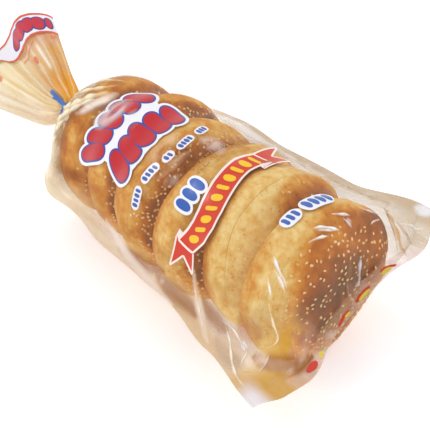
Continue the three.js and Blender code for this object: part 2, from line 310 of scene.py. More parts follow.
def flat_angle(x, u):
    """The angle round the film of a place in flat film coordinates."""
    rows = np.clip(x - FLAT_X[0], 0, len(FLAT_X) - 1.001)
    columns = np.clip((u - FLAT_US[0]) / FLAT_STEP, 0, len(FLAT_US) - 1.001)
    i, j = rows.astype(int), columns.astype(int)
    low, high = (lerp(FLAT_TABLE[i, k], FLAT_TABLE[i + 1, k], rows - i) for k in (j, j + 1))
    return lerp(low, high, columns - j)


def over(surface, a, b, lift, step_a, step_b, sign=1):
    """Points a little over a surface of two parameters."""
    way_a = surface(a + step_a, b) - surface(a - step_a, b)
    way_b = surface(a, b + step_b) - surface(a, b - step_b)
    return surface(a, b) + unit(sign * np.cross(way_b, way_a)) * lift


def film_spot(x, degrees, lift):
    """Points a little over the film, from places along and round it."""
    return over(film_at, np.asarray(x, float), np.radians(degrees), lift, 0.3, 0.004)


def film_place(x, u, lift):
    """Points a little over the film, from flat film coordinates."""
    return film_spot(x, np.degrees(flat_angle(x, u)), lift)


def tail_place(t, w, lift):
    """Points a little over the tail's upper sheet: t and w are about millimetres out from
    the neck and to the right of its middle."""
    f = np.clip(np.asarray(t, float) / TAIL_REACH, 0.005, 0.995)
    angle = np.arccos(np.clip(np.asarray(w, float) / TAIL_HALF, -0.995, 0.995))
    return over(tail_point, f, angle, lift, 0.004, 0.004, -1)


# ---- materials -----------------------------------------------------------------------

# How the film's broad crinkles look, also under the ink.
CRINKLES = {"Detail": 2.0, "Roughness": 0.45, "Distortion": 0.6}


def colour(code):
    """An sRGB hex colour as linear RGBA."""
    parts = [int(code[i:i + 2], 16) / 255 for i in (1, 3, 5)]
    linear = [c / 12.92 if c <= 0.04045 else ((c + 0.055) / 1.055) ** 2.4 for c in parts]
    return (*linear, 1.0)


def add(tree, kind, inputs=(), stops=(), **settings):
    """Adds a node with its settings. An input is a value, an output to link, or a node
    whose first output is linked."""
    node = tree.nodes.new(kind if "Node" in kind else "ShaderNode" + kind)
    for name, value in settings.items():
        setattr(node, name, value)
    if stops:
        elements = node.color_ramp.elements
        while len(elements) < len(stops):
            elements.new(0.5)
        for element, (place, code) in zip(elements, stops):
            element.position = place
            element.color = colour(code)
    for name, value in dict(inputs).items():
        if isinstance(name, int):
            socket = node.inputs[name]
        else:
            socket = next(s for s in node.inputs if s.name == name and s.enabled)
        if isinstance(value, bpy.types.Node):
            value = next(s for s in value.outputs if s.enabled)
        if isinstance(value, bpy.types.NodeSocket):
            tree.links.new(value, socket)
        else:
            socket.default_value = value
    return node


def new_material(name):
    """A new material, its node tree and the place on the piece."""
    material = bpy.data.materials.new(name)
    material.use_nodes = True
    tree = material.node_tree
    tree.nodes.clear()
    return material, tree, add(tree, "TexCoord").outputs["Object"]


def polypropylene_film():
    """Cast polypropylene film: glossy and clear, with a cream veil where the layers lie
    on each other or fold, and crinkles that break up what it mirrors. Its tint and veil also carry
    painted highlights, reflections and shade."""
    material, tree, place = new_material("polypropylene_film")
    tint = add(tree, "Attribute", attribute_name="tint")
    veil = add(tree, "Attribute", attribute_name="veil").outputs["Fac"]
    # crinkles 14 mm and 5 mm across
    broad = add(tree, "TexNoise", {"Vector": place, "Scale": 1000 / 14, **CRINKLES})
    fine = add(tree, "TexNoise", {"Vector": place, "Scale": 1000 / 5, "Detail": 1.0,
                                  "Roughness": 0.4, "Distortion": 0.4})
    height = add(tree, "Mix", {"Factor": 0.22, "A": broad, "B": fine}, data_type="FLOAT")
    bump = add(tree, "Bump", {"Strength": 0.5, "Distance": 0.0012, "Height": height})
    # soft streaks of milk, drawn out along the row
    drawn = add(tree, "VectorMath", {0: place, 1: (0.16, 1.0, 1.0)}, operation="MULTIPLY")
    streak = add(tree, "TexNoise", {"Vector": drawn, "Scale": 1000 / 9, "Detail": 3.0,
                                    "Roughness": 0.55, "Distortion": 0.5})
    share = add(tree, "MapRange", {"Value": streak, "From Min": 0.3, "From Max": 0.7,
                                   "To Min": 0.78, "To Max": 1.22})
    milky = add(tree, "Math", {0: veil, 1: share}, operation="MULTIPLY")
    # film looks milkier where it is seen edge on
    edge = add(tree, "LayerWeight", {"Blend": 0.25, "Normal": bump}).outputs["Facing"]
    rim = add(tree, "Math", {0: edge, 1: 0.11, 2: milky}, operation="MULTIPLY_ADD",
              use_clamp=True)
    surface = add(tree, "BsdfPrincipled", {
        "Base Color": tint, "Roughness": 0.18, "IOR": 1.5, "Specular IOR Level": 0.35,
        "Coat Weight": 0.12, "Coat Roughness": 0.08, "Coat IOR": 1.5, "Alpha": rim,
        "Normal": bump})
    add(tree, "OutputMaterial", {"Surface": surface})
    return material


def flexo_ink(name, code):
    """Flexographic ink on film: an even flat colour under the film's own gloss, a bit
    thinner and paler in places."""
    material, tree, place = new_material(name)
    mottle = add(tree, "TexNoise", {"Vector": place, "Scale": 1000 / 6, "Detail": 3.0})
    full = colour(code)
    pale = tuple(min(1, c * 1.08 + 0.006) for c in full[:3]) + (1,)
    mix = add(tree, "Mix", {"Factor": mottle, "A": full, "B": pale}, data_type="RGBA")
    broad = add(tree, "TexNoise", {"Vector": place, "Scale": 1000 / 14, **CRINKLES})
    bump = add(tree, "Bump", {"Strength": 0.35, "Distance": 0.0012, "Height": broad})
    surface = add(tree, "BsdfPrincipled", {
        "Base Color": mix, "Roughness": 0.34, "IOR": 1.42, "Coat Weight": 0.15,
        "Coat Roughness": 0.1, "Normal": bump})
    add(tree, "OutputMaterial", {"Surface": surface})
    return material


def baked_crust():
    """Baked bread crust with an egg wash: pale where the buns shade each other, orange
    and then brown with more heat, with a soft shine and small pores."""
    material, tree, place = new_material("baked_bun_crust")
    bake = add(tree, "Attribute", attribute_name="bake").outputs["Fac"]
    # patches 16 mm and 4 mm across make the bake uneven, with a few darker flecks
    patch = add(tree, "TexNoise", {"Vector": place, "Scale": 1000 / 16, "Detail": 5.0,
                                   "Roughness": 0.62})
    broad = add(tree, "Math", {0: patch, 1: 0.28, 2: bake}, operation="MULTIPLY_ADD")
    small = add(tree, "TexNoise", {"Vector": place, "Scale": 1000 / 4, "Detail": 4.0,
                                   "Roughness": 0.65})
    mottled = add(tree, "Math", {0: small, 1: 0.40, 2: broad}, operation="MULTIPLY_ADD")
    fleck = add(tree, "TexNoise", {"Vector": place, "Scale": 1000 / 2.2, "Detail": 1.0})
    spot = add(tree, "MapRange", {"Value": fleck, "From Min": 0.67, "From Max": 0.75,
                                  "To Min": -0.29, "To Max": -0.15})
    uneven = add(tree, "Math", {0: mottled, 1: spot}, operation="ADD", use_clamp=True)
    ramp = add(tree, "ValToRGB", {"Fac": uneven}, stops=[
        (0.0, "#EFD290"), (0.14, "#E4B769"), (0.30, "#D58F38"), (0.48, "#BD6A22"),
        (0.68, "#964C1A"), (0.84, "#783913"), (1.0, "#5E2B0E")])
    pores = add(tree, "TexNoise", {"Vector": place, "Scale": 1000 / 1.6, "Detail": 4.0,
                                   "Roughness": 0.65})
    skin = add(tree, "TexNoise", {"Vector": place, "Scale": 1000 / 6, "Detail": 4.0,
                                  "Roughness": 0.6})
    height = add(tree, "Mix", {"Factor": 0.45, "A": skin, "B": pores}, data_type="FLOAT")
    bump = add(tree, "Bump", {"Strength": 0.55, "Distance": 0.0012, "Height": height})
    rough = add(tree, "MapRange", {"Value": uneven, "From Min": 0.1, "From Max": 0.8,
                                   "To Min": 0.75, "To Max": 0.45})
    surface = add(tree, "BsdfPrincipled", {
        "Base Color": ramp, "Roughness": rough, "IOR": 1.45, "Specular IOR Level": 0.25,
        "Subsurface Weight": 0.12, "Subsurface Radius": (0.004, 0.002, 0.001),
        "Subsurface Scale": 1.0, "Normal": bump})
    add(tree, "OutputMaterial", {"Surface": surface})
    return material


def bread_crumb():
    """White bread crumb, cut: matt, pale and full of small holes."""
    material, tree, place = new_material("white_bread_crumb")
    holes = add(tree, "TexVoronoi", {"Vector": place, "Scale": 1000 / 1.8})
    # darker in the middle of each hole: painted shade in the holes
    ramp = add(tree, "ValToRGB", {"Fac": holes}, stops=[
        (0.0, "#C9A56A"), (0.35, "#EAD3A2"), (1.0, "#F4E6C4")])
    bump = add(tree, "Bump", {"Strength": 0.8, "Distance": 0.0008, "Height": holes})
    surface = add(tree, "BsdfPrincipled", {"Base Color": ramp, "Roughness": 0.9,
                                           "Normal": bump})
    add(tree, "OutputMaterial", {"Surface": surface})
    return material


def hulled_sesame():
    """Hulled sesame, lightly toasted: ivory with a faint oily shine."""
    material, tree, place = new_material("hulled_sesame")
    toast = add(tree, "TexNoise", {"Vector": place, "Scale": 1000 / 5, "Detail": 1.0})
    ramp = add(tree, "ValToRGB", {"Fac": toast}, stops=[
        (0.3, "#F6DCA6"), (0.5, "#EBC283"), (0.72, "#D9A460")])
    surface = add(tree, "BsdfPrincipled", {"Base Color": ramp, "Roughness": 0.38,
                                           "IOR": 1.47})
    add(tree, "OutputMaterial", {"Surface": surface})
    return material


def vinyl_tie():
    """A wire tie in blue vinyl: a satin shine and fine ribs from the roller."""
    material, tree, place = new_material("blue_vinyl_wire_tie")
    shade = add(tree, "TexNoise", {"Vector": place, "Scale": 1000 / 9, "Detail": 2.0})
    ramp = add(tree, "ValToRGB", {"Fac": shade}, stops=[(0.3, "#2F5FB0"), (0.7, "#3B74C6")])
    ribs = add(tree, "TexNoise", {"Vector": place, "Scale": 1000 / 1.2, "Detail": 1.0})
    bump = add(tree, "Bump", {"Strength": 0.3, "Distance": 0.0003, "Height": ribs})
    surface = add(tree, "BsdfPrincipled", {"Base Color": ramp, "Roughness": 0.36,
                                           "IOR": 1.53, "Normal": bump})
    add(tree, "OutputMaterial", {"Surface": surface})
    return material


def white_paper():
    """Studio background paper on a light table: matt, almost white, with soft shadows and
    the faint blue glow of brightened paper. Its fibre is 2.5 mm, so that it shows."""
    material, tree, place = new_material("white_background_paper")
    fibre = add(tree, "TexNoise", {"Vector": place, "Scale": 1000 / 2.5, "Detail": 2.0})
    ramp = add(tree, "ValToRGB", {"Fac": fibre}, stops=[(0.3, "#F7F7F7"), (0.7, "#FBFBFB")])
    surface = add(tree, "BsdfPrincipled", {
        "Base Color": ramp, "Roughness": 0.9, "Emission Color": (0.93, 1.0, 1.10, 1.0),
        "Emission Strength": 0.34})
    add(tree, "OutputMaterial", {"Surface": surface})
    return material


# ---- meshes --------------------------------------------------------------------------


def grid_faces(rows, columns, closed=False):
    """Quads over rows of points; closed joins each row's end to its start."""
    i = np.arange(rows - 1)[:, None]
    j = np.arange(columns if closed else columns - 1)[None, :]
    k = (j + 1) % columns
    quads = np.stack([i * columns + j, i * columns + k,
                      (i + 1) * columns + k, (i + 1) * columns + j], -1)
    return quads.reshape(-1, 4)


def new_mesh(name, points, faces):
    """A smoothly shaded mesh from points in metres."""
    mesh = bpy.data.meshes.new(name)
    mesh.from_pydata(points.tolist(), [], faces)
    mesh.polygons.foreach_set("use_smooth", [True] * len(mesh.polygons))
    return mesh


def placed(name, data):
    """A new object in the scene, at the origin."""
    thing = bpy.data.objects.new(name, data)
    bpy.context.scene.collection.objects.link(thing)
    return thing


def new_piece(name, points, faces, finish, slot, attributes=()):
    """A piece of the pack from points in millimetres along the row."""
    mesh = new_mesh(name, (np.reshape(points, (-1, 3)) - ORIGIN) / 1000, faces)
    for label, values in dict(attributes).items():
        values = np.asarray(values, float)
        kind = "FLOAT_COLOR" if values.ndim == 2 else "FLOAT"
        data = mesh.attributes.new(label, kind, "POINT").data
        data.foreach_set("color" if values.ndim == 2 else "value", values.ravel())
    mesh.materials.append(finish)
    mesh.update()
    piece = placed(name, mesh)
    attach(piece, "root")
    return piece


def join(parts):
    """Joins (points, faces) pairs into one."""
    points, faces, start = [], [], 0
    for part_points, part_faces in parts:
        points.append(np.reshape(part_points, (-1, 3)))
        faces += [[corner + start for corner in face] for face in part_faces]
        start += len(points[-1])
    return np.concatenate(points), faces


# ---- the film ------------------------------------------------------------------------

angles = np.linspace(0, 2 * np.pi, AROUND, endpoint=False)


def film_rings(tail_shares):
    """Rows of points from the tail's mouth to the seal."""
    tail = tail_point(tail_shares, angles)
    x = lerp(BODY_START, END_START, np.linspace(0, 1, BODY_STEPS + 1) ** BODY_CROWDED)[:, None]
    body = body_point(x, angles)
    closing = np.sin(np.pi / 2 * np.arange(1, END_STEPS + 1) / END_STEPS)[:, None]
    return np.concatenate([tail, body, body_point(END_START, angles, closing)])


tail_shares = (np.linspace(1, 0, TAIL_STEPS + 1) ** TAIL_CROWDED)[:, None]
film_rows = film_rings(tail_shares)
rows = len(film_rows)


def wash(looks, share, code, amount):
    """Lays a colour and a milkiness over the film, where share is over 0."""
    tint, veil = looks
    share = np.clip(share, 0, 1)
    tint += (np.array(colour(code)) - tint) * share[..., None]
    veil += (amount - veil) * share


def near(line, half, soft):
    """1 on the film near a line of places along and round it, 0 further off. It tapers to
    the line's ends."""
    spots = np.linspace(0, len(line) - 1, 12 * len(line))
    x, degrees = points_on(line, range(len(line)), spots).T
    path = film_at(x, np.radians(degrees))
    out = np.zeros(film_rows.shape[:2])
    low, high = path.min(0) - half - soft, path.max(0) + half + soft
    close = ((film_rows > low) & (film_rows < high)).all(-1)
    taper = np.sin(np.pi * np.linspace(0.06, 0.94, len(path))) ** 0.6
    gap = (np.linalg.norm(film_rows[close][:, None] - path[None], axis=-1) / taper).min(1)
    out[close] = 1 - smooth(gap, half, half + soft)
    return out


# Where the painted reflection of the floor starts over the near end: a place along the row for each
# angle round the film.
REFLECTION_ANGLES = [60, 70, 75, 80, 84, 86, 89, 95, 102, 110, 118, 127, 140]
REFLECTION_FROM = [259, 259.5, 259.5, 259.5, 261, 264, 266.5, 270, 273, 275, 275.5, 279, 288]

# Pale, golden and darker bands, some of them painted shadows, shade and highlights: a line of
# places along and round the film, half width, softness, colour and milkiness.
BANDS = [
    # a painted highlight at the tip of the right ear
    ([(240, 18), (246, 16)], 3.0, 5.0, "#F1ECF0", 0.55),
    # painted shade in the folds between the left fin and the near bun
    ([(240, 146), (252, 151), (262, 156)], 5.0, 7.0, "#B98E52", 0.42),
    ([(246, 136), (258, 139), (266, 142)], 4.0, 6.0, "#A97A42", 0.36),
    # painted shadows and reflections of the buns' undersides in the film below them
    ([(140, 157), (150, 156), (161, 155), (173, 151.5), (180, 149)], 1.4, 6.0, "#9C5C18", 0.72),
    ([(178, 154), (188, 155.5), (198, 156), (207, 154.5), (219, 155)], 1.6, 7.0, "#A0641E", 0.68),
    ([(216, 144), (226, 145), (234, 145.5), (242, 146)], 1.4, 6.5, "#A0641E", 0.66),
    ([(116, 147.5), (127, 149.5), (138, 154), (148.5, 159.5), (164.5, 163.5),
      (181.5, 168), (200, 177)], 0.6, 3.4, "#F4E2D2", 0.58),
    ([(198, 137), (208, 144), (216, 148.5), (226, 153.5), (238, 163)], 0.6, 2.8,
     "#EED6BA", 0.54),
    # a painted shadow under the near bun, by the seal
    ([(268, 143), (274, 140), (280, 135), (285, 128), (284, 119)], 2.8, 4.0, "#A86604", 0.86),
    ([(249, 138.5), (256, 136.5), (262, 135)], 4.0, 3.0, "#B87C50", 0.62),
    ([(70, 28), (110, 30), (150, 27)], 2.0, 5.0, "#F4E8DA", 0.46),
]


def film_looks():
    """Colour and milkiness of the film at each point, with painted highlights, reflections and shade
    among them.
    """
    around = np.tile(angles, (rows, 1))
    degrees = np.degrees(around)
    across, x = np.cos(around), film_rows[..., 0]
    looks = np.ones((rows, AROUND, 4)), np.full((rows, AROUND), 0.05)
    wash(looks, np.ones((rows, AROUND)), "#EBD09A", 0.05)
    # flat fins: two layers and a milkier film, in long soft streaks
    fin = smooth(np.abs(across), 0.80, 0.94) * smooth(x, 0, 50)
    drawn = waves(film_rows * [0.16, 1, 1], 26, 5)
    wash(looks, fin, "#DEB87E", 0.48)
    wash(looks, fin * smooth(drawn, 0.1, 1.2) * 0.7, "#F4E6CC", 0.54)
    wash(looks, fin * smooth(-drawn, 0.1, 1.2) * 0.8, "#CFA468", 0.52)
    # the left side by the neck: a paler, milkier film, partly painted light against the shade there
    pale_side = smooth(-across - 0.15 * smooth(x, 30, 60), 0.62, 0.9) * smooth(x, -5, 25)
    wash(looks, pale_side * smooth(-x, -120, -60), "#FBE9C4", 0.60)
    far_side = smooth(across, 0.45, 0.7) * smooth(x, 50, 110)
    wash(looks, far_side * (0.75 - 0.25 * smooth(drawn, 0.3, 1.2)), "#BF9E68", 0.62)
    # pleats fan out from the neck over the first bun, amber between ridges that carry painted
    # highlights
    away = np.clip(x - BODY_START, 0, None)
    shoulder = (1 - smooth(away, 14, 68)) * (x > BODY_START)
    ridge = np.sin(PLEATS * around + 0.9) + 0.7 * np.sin(19 * around + away / 14)
    wash(looks, 1.2 * shoulder, "#F4D694", 0.86)
    # painted highlights along the pleat ridges
    wash(looks, shoulder ** 0.7 * smooth(ridge, 0.1, 1.0), "#FFF3D2", 0.92)
    # the tail: amber by the neck and on the right, pale yellow on the left
    tail = (np.arange(rows) < TAIL_STEPS)[:, None]
    f = np.zeros((rows, 1))
    f[:TAIL_STEPS] = tail_shares[:-1]
    right = smooth(across, -0.25, 0.55)
    wash(looks, 1.0 * tail, "#F2DC9C", 0.60)
    wash(looks, tail * smooth(-across, 0.35, 0.8), "#EDDAB4", 0.52)
    wash(looks, tail * right * 0.85, "#E0AC66", 0.66)
    crowd = np.exp(-((f / 0.42) ** 1.4)) * (0.22 + 0.78 * right)
    wash(looks, tail * crowd * 1.4, "#E69C08", 0.97)
    fan = across + 0.04 * np.sin(5 * f + 3 * across)
    pleat = np.sin(23 * fan + 0.4) + 0.8 * np.sin(41 * fan + 1.7) + 0.5 * np.sin(67 * fan)
    # painted highlights on the tail's pleats
    wash(looks, tail * smooth(pleat, 0.5, 1.6) * (0.35 + 0.4 * f), "#FFF3D4", 0.72)
    # painted shade in the troughs of the pleats, a deeper amber
    pleat_shade = tail * smooth(-pleat, 0.4, 1.5) * (1 - 0.6 * f) * (0.35 + 0.65 * right)
    wash(looks, pleat_shade, "#D4840C", 0.92)
    wash(looks, tail * smooth(f, 0.55, 0.74) * smooth(across, 0.1, 0.45) * 0.6, "#DB9468", 0.74)
    # a painted highlight in a strip along the tail
    glow = np.exp(-((across - 0.52) / 0.05) ** 2) * smooth(f, 0.34, 0.42) * smooth(-f, -0.72, -0.6)
    wash(looks, tail * glow, "#FFF6E0", 0.85)
    # gold in the left ear of the sealed end, milk beyond it
    wash(looks, smooth(x, 262, 276) * smooth(-across, 0.35, 0.6), "#D9A430", 0.70)
    wash(looks, smooth(x, 268, 284) * smooth(-across, 0.84, 0.95), "#F1EAF0", 0.60)
    # a milky veil over the near end: a painted reflection of the pale floor in the film
    edge = np.interp(degrees, REFLECTION_ANGLES, REFLECTION_FROM)
    inside = smooth(degrees, 46, 56) * smooth(-degrees, -140, -128)
    ragged = 1.6 * waves(film_rows, 9, 17)
    milk_and_sheen = smooth(x - edge + ragged, -1.0, 2.5) * inside
    wash(looks, milk_and_sheen, "#D8A482", 0.30)
    milk_and_sheen = smooth(x - edge + ragged, 1.5, 9.0) * inside
    wash(looks, milk_and_sheen, "#DAB49C", 0.50)
    wash(looks, milk_and_sheen * smooth(waves(film_rows, 14, 21), 0.2, 1.2) * 0.6, "#EED8CA", 0.56)
    for line, half_width, soft, code, amount in BANDS:
        wash(looks, near(line, half_width, soft), code, amount)
    tint, veil = looks
    return tint.reshape(-1, 4), veil.reshape(-1)


film = polypropylene_film()
film_faces = grid_faces(rows, AROUND, closed=True).tolist()
for j in range(AROUND // 2):  # flat strips close the mouth and the seal
    mouth = (j, j + 1, AROUND - j - 1, (AROUND - j) % AROUND)
    seal = [(rows - 1) * AROUND + m for m in mouth]
    film_faces.append(list(dict.fromkeys(mouth[::-1])))
    film_faces.append(list(dict.fromkeys(seal)))
tint, veil = film_looks()
bag = new_piece("film_bag", film_rows, film_faces, film, "film", {"tint": tint, "veil": veil})
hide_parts("bag")

film_tree = BVHTree.FromPolygons([Vector(p) for p in film_rows.reshape(-1, 3).tolist()],
                                 film_faces)

# ---- the buns ------------------------------------------------------------------------

SLICE = 21.0  # from the heel to the cut
ROUND_BUN = 144  # points round a bun
CRUMB_IN = 1.1  # how far the crumb lies inside the cut
BUN_MIDDLE = 17.0  # from the heel to a bun's middle
# How far a bun keeps from the film and the next bun, and how softly it is pressed in.
CLEAR_OF_FILM, CLEAR_OF_BUN, PRESS_SOFT = 0.75, 0.5, 3
# How each bun is baked: width of its cut, how pale its side is, where its crown starts to
# brown, how brown the crown's rim and middle are, how golden the side's left is, how
# much later the crown browns for each millimetre to the left, how far the heel's own brown
# reaches and how brown it is.
BAKES = [
    (0.05, 0.10, 20, 0.52, 0.54, 0.06, 0.0, 9.5, 0.28),
    (0.05, 0.35, 20, 0.58, 0.64, 0.00, 0.0, 9.5, 0.38),
    (0.05, 0.50, 23, 0.60, 0.66, 0.00, 0.0, 9.5, 0.32),
    (0.05, 0.65, 21, 0.56, 0.66, 0.00, 0.10, 11, 0.32),
    (0.20, 1.00, 25, 0.48, 0.70, 0.00, 0.42, 15, 0.36),
    (0.05, 1.00, 12, 0.40, 0.84, 0.16, 0.38, 9, 0.16),
]


def bun_profile(height, blunt):
    """Radius over distance from the heel, for a bun 100 mm across."""
    out = [(0.0, 0.0), (0.0, 15.0), (0.0, 30.0), (0.0, 41.0), (0.35, 44.2), (1.4, 46.4)]
    for i in range(1, 9):
        x = 1.4 + (RIM - 1.4) * i / 8
        out.append((x, 46.4 + 3.6 * math.sin(math.pi / 2 * i / 8)))
    for i in range(1, 40):
        a = math.pi / 2 * i / 39
        out.append((RIM + (height - RIM) * math.sin(a), 50 * math.cos(a) ** blunt))
    return np.array(out)


def halves(profile, cut):
    """The outlines of the heel, the crown and the crumb between them, inside the cut."""
    x, r = profile[:, 0], profile[:, 1]
    low, high = SLICE - cut / 2, SLICE + cut / 2
    inner = [0, 15, 30, 42, 47]
    heel = profile[x < low - 0.6].tolist()
    edge = float(np.interp(low, x[5:], r[5:]))
    heel += [(low - 0.3, edge), (low - 0.07, edge - 0.12), (low, edge - 0.4)]
    heel += [(low, v) for v in inner[::-1]]
    crown = [(high, v) for v in inner]
    rim = float(np.interp(high, x[5:], r[5:]))
    crown += [(high, rim - 0.4), (high + 0.07, rim - 0.12), (high + 0.3, rim)]
    crown += profile[x > high + 0.6].tolist()
    crumb = [(low + 0.02, v) for v in inner[:-1] + [edge - CRUMB_IN]]
    crumb += [(high - 0.02, v) for v in [edge - CRUMB_IN] + inner[-2::-1]]
    return np.array(heel), np.array(crown), np.array(crumb)


def lathe(outline, around):
    """A closed shape from an outline that starts and ends on the axis."""
    turn = np.linspace(0, 2 * np.pi, around, endpoint=False)
    x, r = outline[1:-1, 0], outline[1:-1, 1]
    rings = np.stack([x[:, None] + 0 * turn, r[:, None] * np.cos(turn),
                      r[:, None] * np.sin(turn)], -1)
    count = len(x)
    faces = grid_faces(count, around, closed=True)[:, ::-1].tolist()
    first, last = count * around, count * around + 1
    for j in range(around):
        k = (j + 1) % around
        faces.append([first, j, k])
        faces.append([last, (count - 1) * around + k, (count - 1) * around + j])
    points = np.concatenate([rings.reshape(-1, 3), [[outline[0, 0], 0, 0]],
                             [[outline[-1, 0], 0, 0]]])
    return points, [f[::-1] for f in faces]


def bake_at(points, seed, bake):
    """How baked the crust is: a brown crown, a pale side and a golden heel."""
    pale, brown_from, rim, middle, golden, later, heel_to, heel = bake[1:]
    x, y, z = points.T
    brown_from = brown_from + later * np.maximum(-y, 0)
    r = np.hypot(y, z)
    way = waves(points, 55, seed + 40) * 2.0 + waves(points, 20, seed + 41) * 1.0
    crown = smooth(x + way + 0.04 * z, brown_from, brown_from + 10)
    tan = 0.24 * smooth(x + way, brown_from - 4, brown_from + 3)
    heel = heel * (1 - smooth(x + 0.6 * way, 1.5, heel_to))
    side = lerp(0.36, 0.03, pale) + golden * smooth(-y, 18, 44) * (1 - smooth(x, 8, 15))
    side = side + lerp(0.10, 0.03, pale) * waves(points, 18, seed + 44)
    dome = lerp(middle, rim, smooth(r, 12, 45)) + 0.07 * waves(points, 24, seed + 42)
    dome = dome + 0.20 * smooth(y, 0, 38) * smooth(z, -20, 20)
    baked = np.maximum(np.maximum(crown * dome, tan), np.maximum(heel, side))
    return np.clip(baked + 0.03 * waves(points, 9, seed + 43), 0, 1)


def uneven(points, seed):
    """Soft dents and a slightly wandering cut."""
    out = points.copy()
    r = np.hypot(points[:, 1], points[:, 2])
    swell = 0.010 * waves(points, 60, seed) + 0.004 * waves(points, 22, seed + 1)
    out[:, 1:] *= (1 + swell)[:, None]
    bumpy = 0.7 * waves(points, 34, seed + 2) + 0.22 * waves(points, 11, seed + 3)
    out[:, 0] += bumpy * smooth(points[:, 0], 18.5, 28)
    wander = 0.8 * waves(points * [0, 1, 1], 48, seed + 4)
    by_cut = np.exp(-((points[:, 0] - SLICE) / 3.0) ** 2)
    out[:, 0] += wander * by_cut * smooth(r, 20, 44)
    return out


def set_in_row(points, bun):
    """Turns a bun and puts it in its place in the row."""
    heel, side, height, radius, yaw, nod = bun[:6]
    out = points * [1, radius / 50, radius / 50]
    c, s = math.cos(math.radians(yaw)), math.sin(math.radians(yaw))
    out = out @ np.array([[c, s, 0], [-s, c, 0], [0, 0, 1]])
    c, s = math.cos(math.radians(nod)), math.sin(math.radians(nod))
    out = out @ np.array([[c, 0, -s], [0, 1, 0], [s, 0, c]])
    return out + np.array([heel, side, height])


def press_in(points, bun, after):
    """The film and the next bun's heel press on a bun that would go through them."""
    out = points.copy()
    if after is not None:
        spot = set_in_row(np.zeros((1, 3)), after)[0]
        way = set_in_row(np.array([[1.0, 0, 0]]), after)[0] - spot
        deep = (out - spot) @ way + CLEAR_OF_BUN
        soft = np.where(deep > -PRESS_SOFT, (deep + PRESS_SOFT) ** 2 / (4 * PRESS_SOFT), 0)
        soft = np.where(deep > PRESS_SOFT, deep, soft)
        out -= np.maximum(soft, 0)[:, None] * way
    middle = set_in_row(np.array([[BUN_MIDDLE, 0, 0]]), bun)[0]
    for i, p in enumerate(out):
        way = p - middle
        reach = float(np.linalg.norm(way))
        if reach < 20:
            continue
        hit = film_tree.ray_cast(Vector(middle), Vector(way / reach), reach + 1.0)
        if hit[0] is not None and hit[3] < reach + CLEAR_OF_FILM:
            out[i] = middle + way * ((hit[3] - CLEAR_OF_FILM) / reach)
    return out


finishes = {"crust": baked_crust(), "crumb": bread_crumb()}
crowns = []
for number, bun in enumerate(BUNS):
    after = BUNS[number + 1] if number + 1 < len(BUNS) else None
    seed = 100 * (number + 1)
    outlines = halves(bun_profile(bun[6], bun[7]), BAKES[number][0])
    for part, outline in zip(("heel", "crown", "crumb"), outlines):
        local, faces = lathe(outline, ROUND_BUN)
        if after is None:
            local[:, 1] *= 1 + LAST_WIDER * smooth(local[:, 1], 0, 25)
        shaped = press_in(set_in_row(uneven(local, seed), bun), bun, after)
        slot = "crumb" if part == "crumb" else "crust"
        looks = {"bake": bake_at(local, seed, BAKES[number]),
                 "seeds": smooth(local[:, 0], SLICE, SLICE + 6) * (local[:, 0] > SLICE + 1)}
        piece = new_piece(f"bun_{number + 1}_{part}", shaped, faces, finishes[slot], slot, looks)
        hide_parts("bag")
        if part == "crown":
            crowns.append(piece)

# ---- sesame seeds ----------------------------------------------------------------------

SEED_LENGTH, SEED_WIDTH, SEED_THICK = 2.3, 1.5, 0.8
SEED_UP = 0.00012  # how far a seed's middle lies over the crust, in metres
# For each bun from the neck: seeds on a square metre at most, least distance between two.
SEEDING = [(24000, 3.0), (90000, 2.0), (90000, 2.0), (60000, 2.4), (18000, 3.6), (52000, 2.4)]


def seed_shape():
    """One flat teardrop seed, 40 faces, in metres, lying on its side at the origin."""
    outline = np.array([(0, -1.0, 0), (0.45, -0.72, 0.7), (0.5, -0.1, 1.0),
                        (0.34, 0.55, 0.7), (0, 1.0, 0)])
    turn = np.linspace(0, 2 * np.pi, 8, endpoint=False)
    size = np.array([SEED_WIDTH, SEED_LENGTH / 2, SEED_THICK / 2]) / 1000
    rings = [(w * np.cos(turn), y + 0 * turn, t * np.sin(turn)) for w, y, t in outline[1:-1]]
    points = np.concatenate([np.stack(ring, -1) for ring in rings]
                            + [[[0, -1.0, 0]], [[0, 1.0, 0]]]) * size
    faces = grid_faces(3, 8, closed=True).tolist()
    faces += [[24, (j + 1) % 8, j] for j in range(8)]
    faces += [[25, 16 + j, 16 + (j + 1) % 8] for j in range(8)]
    return placed("seed", new_mesh("seed", points + [0, 0, SEED_UP], faces))


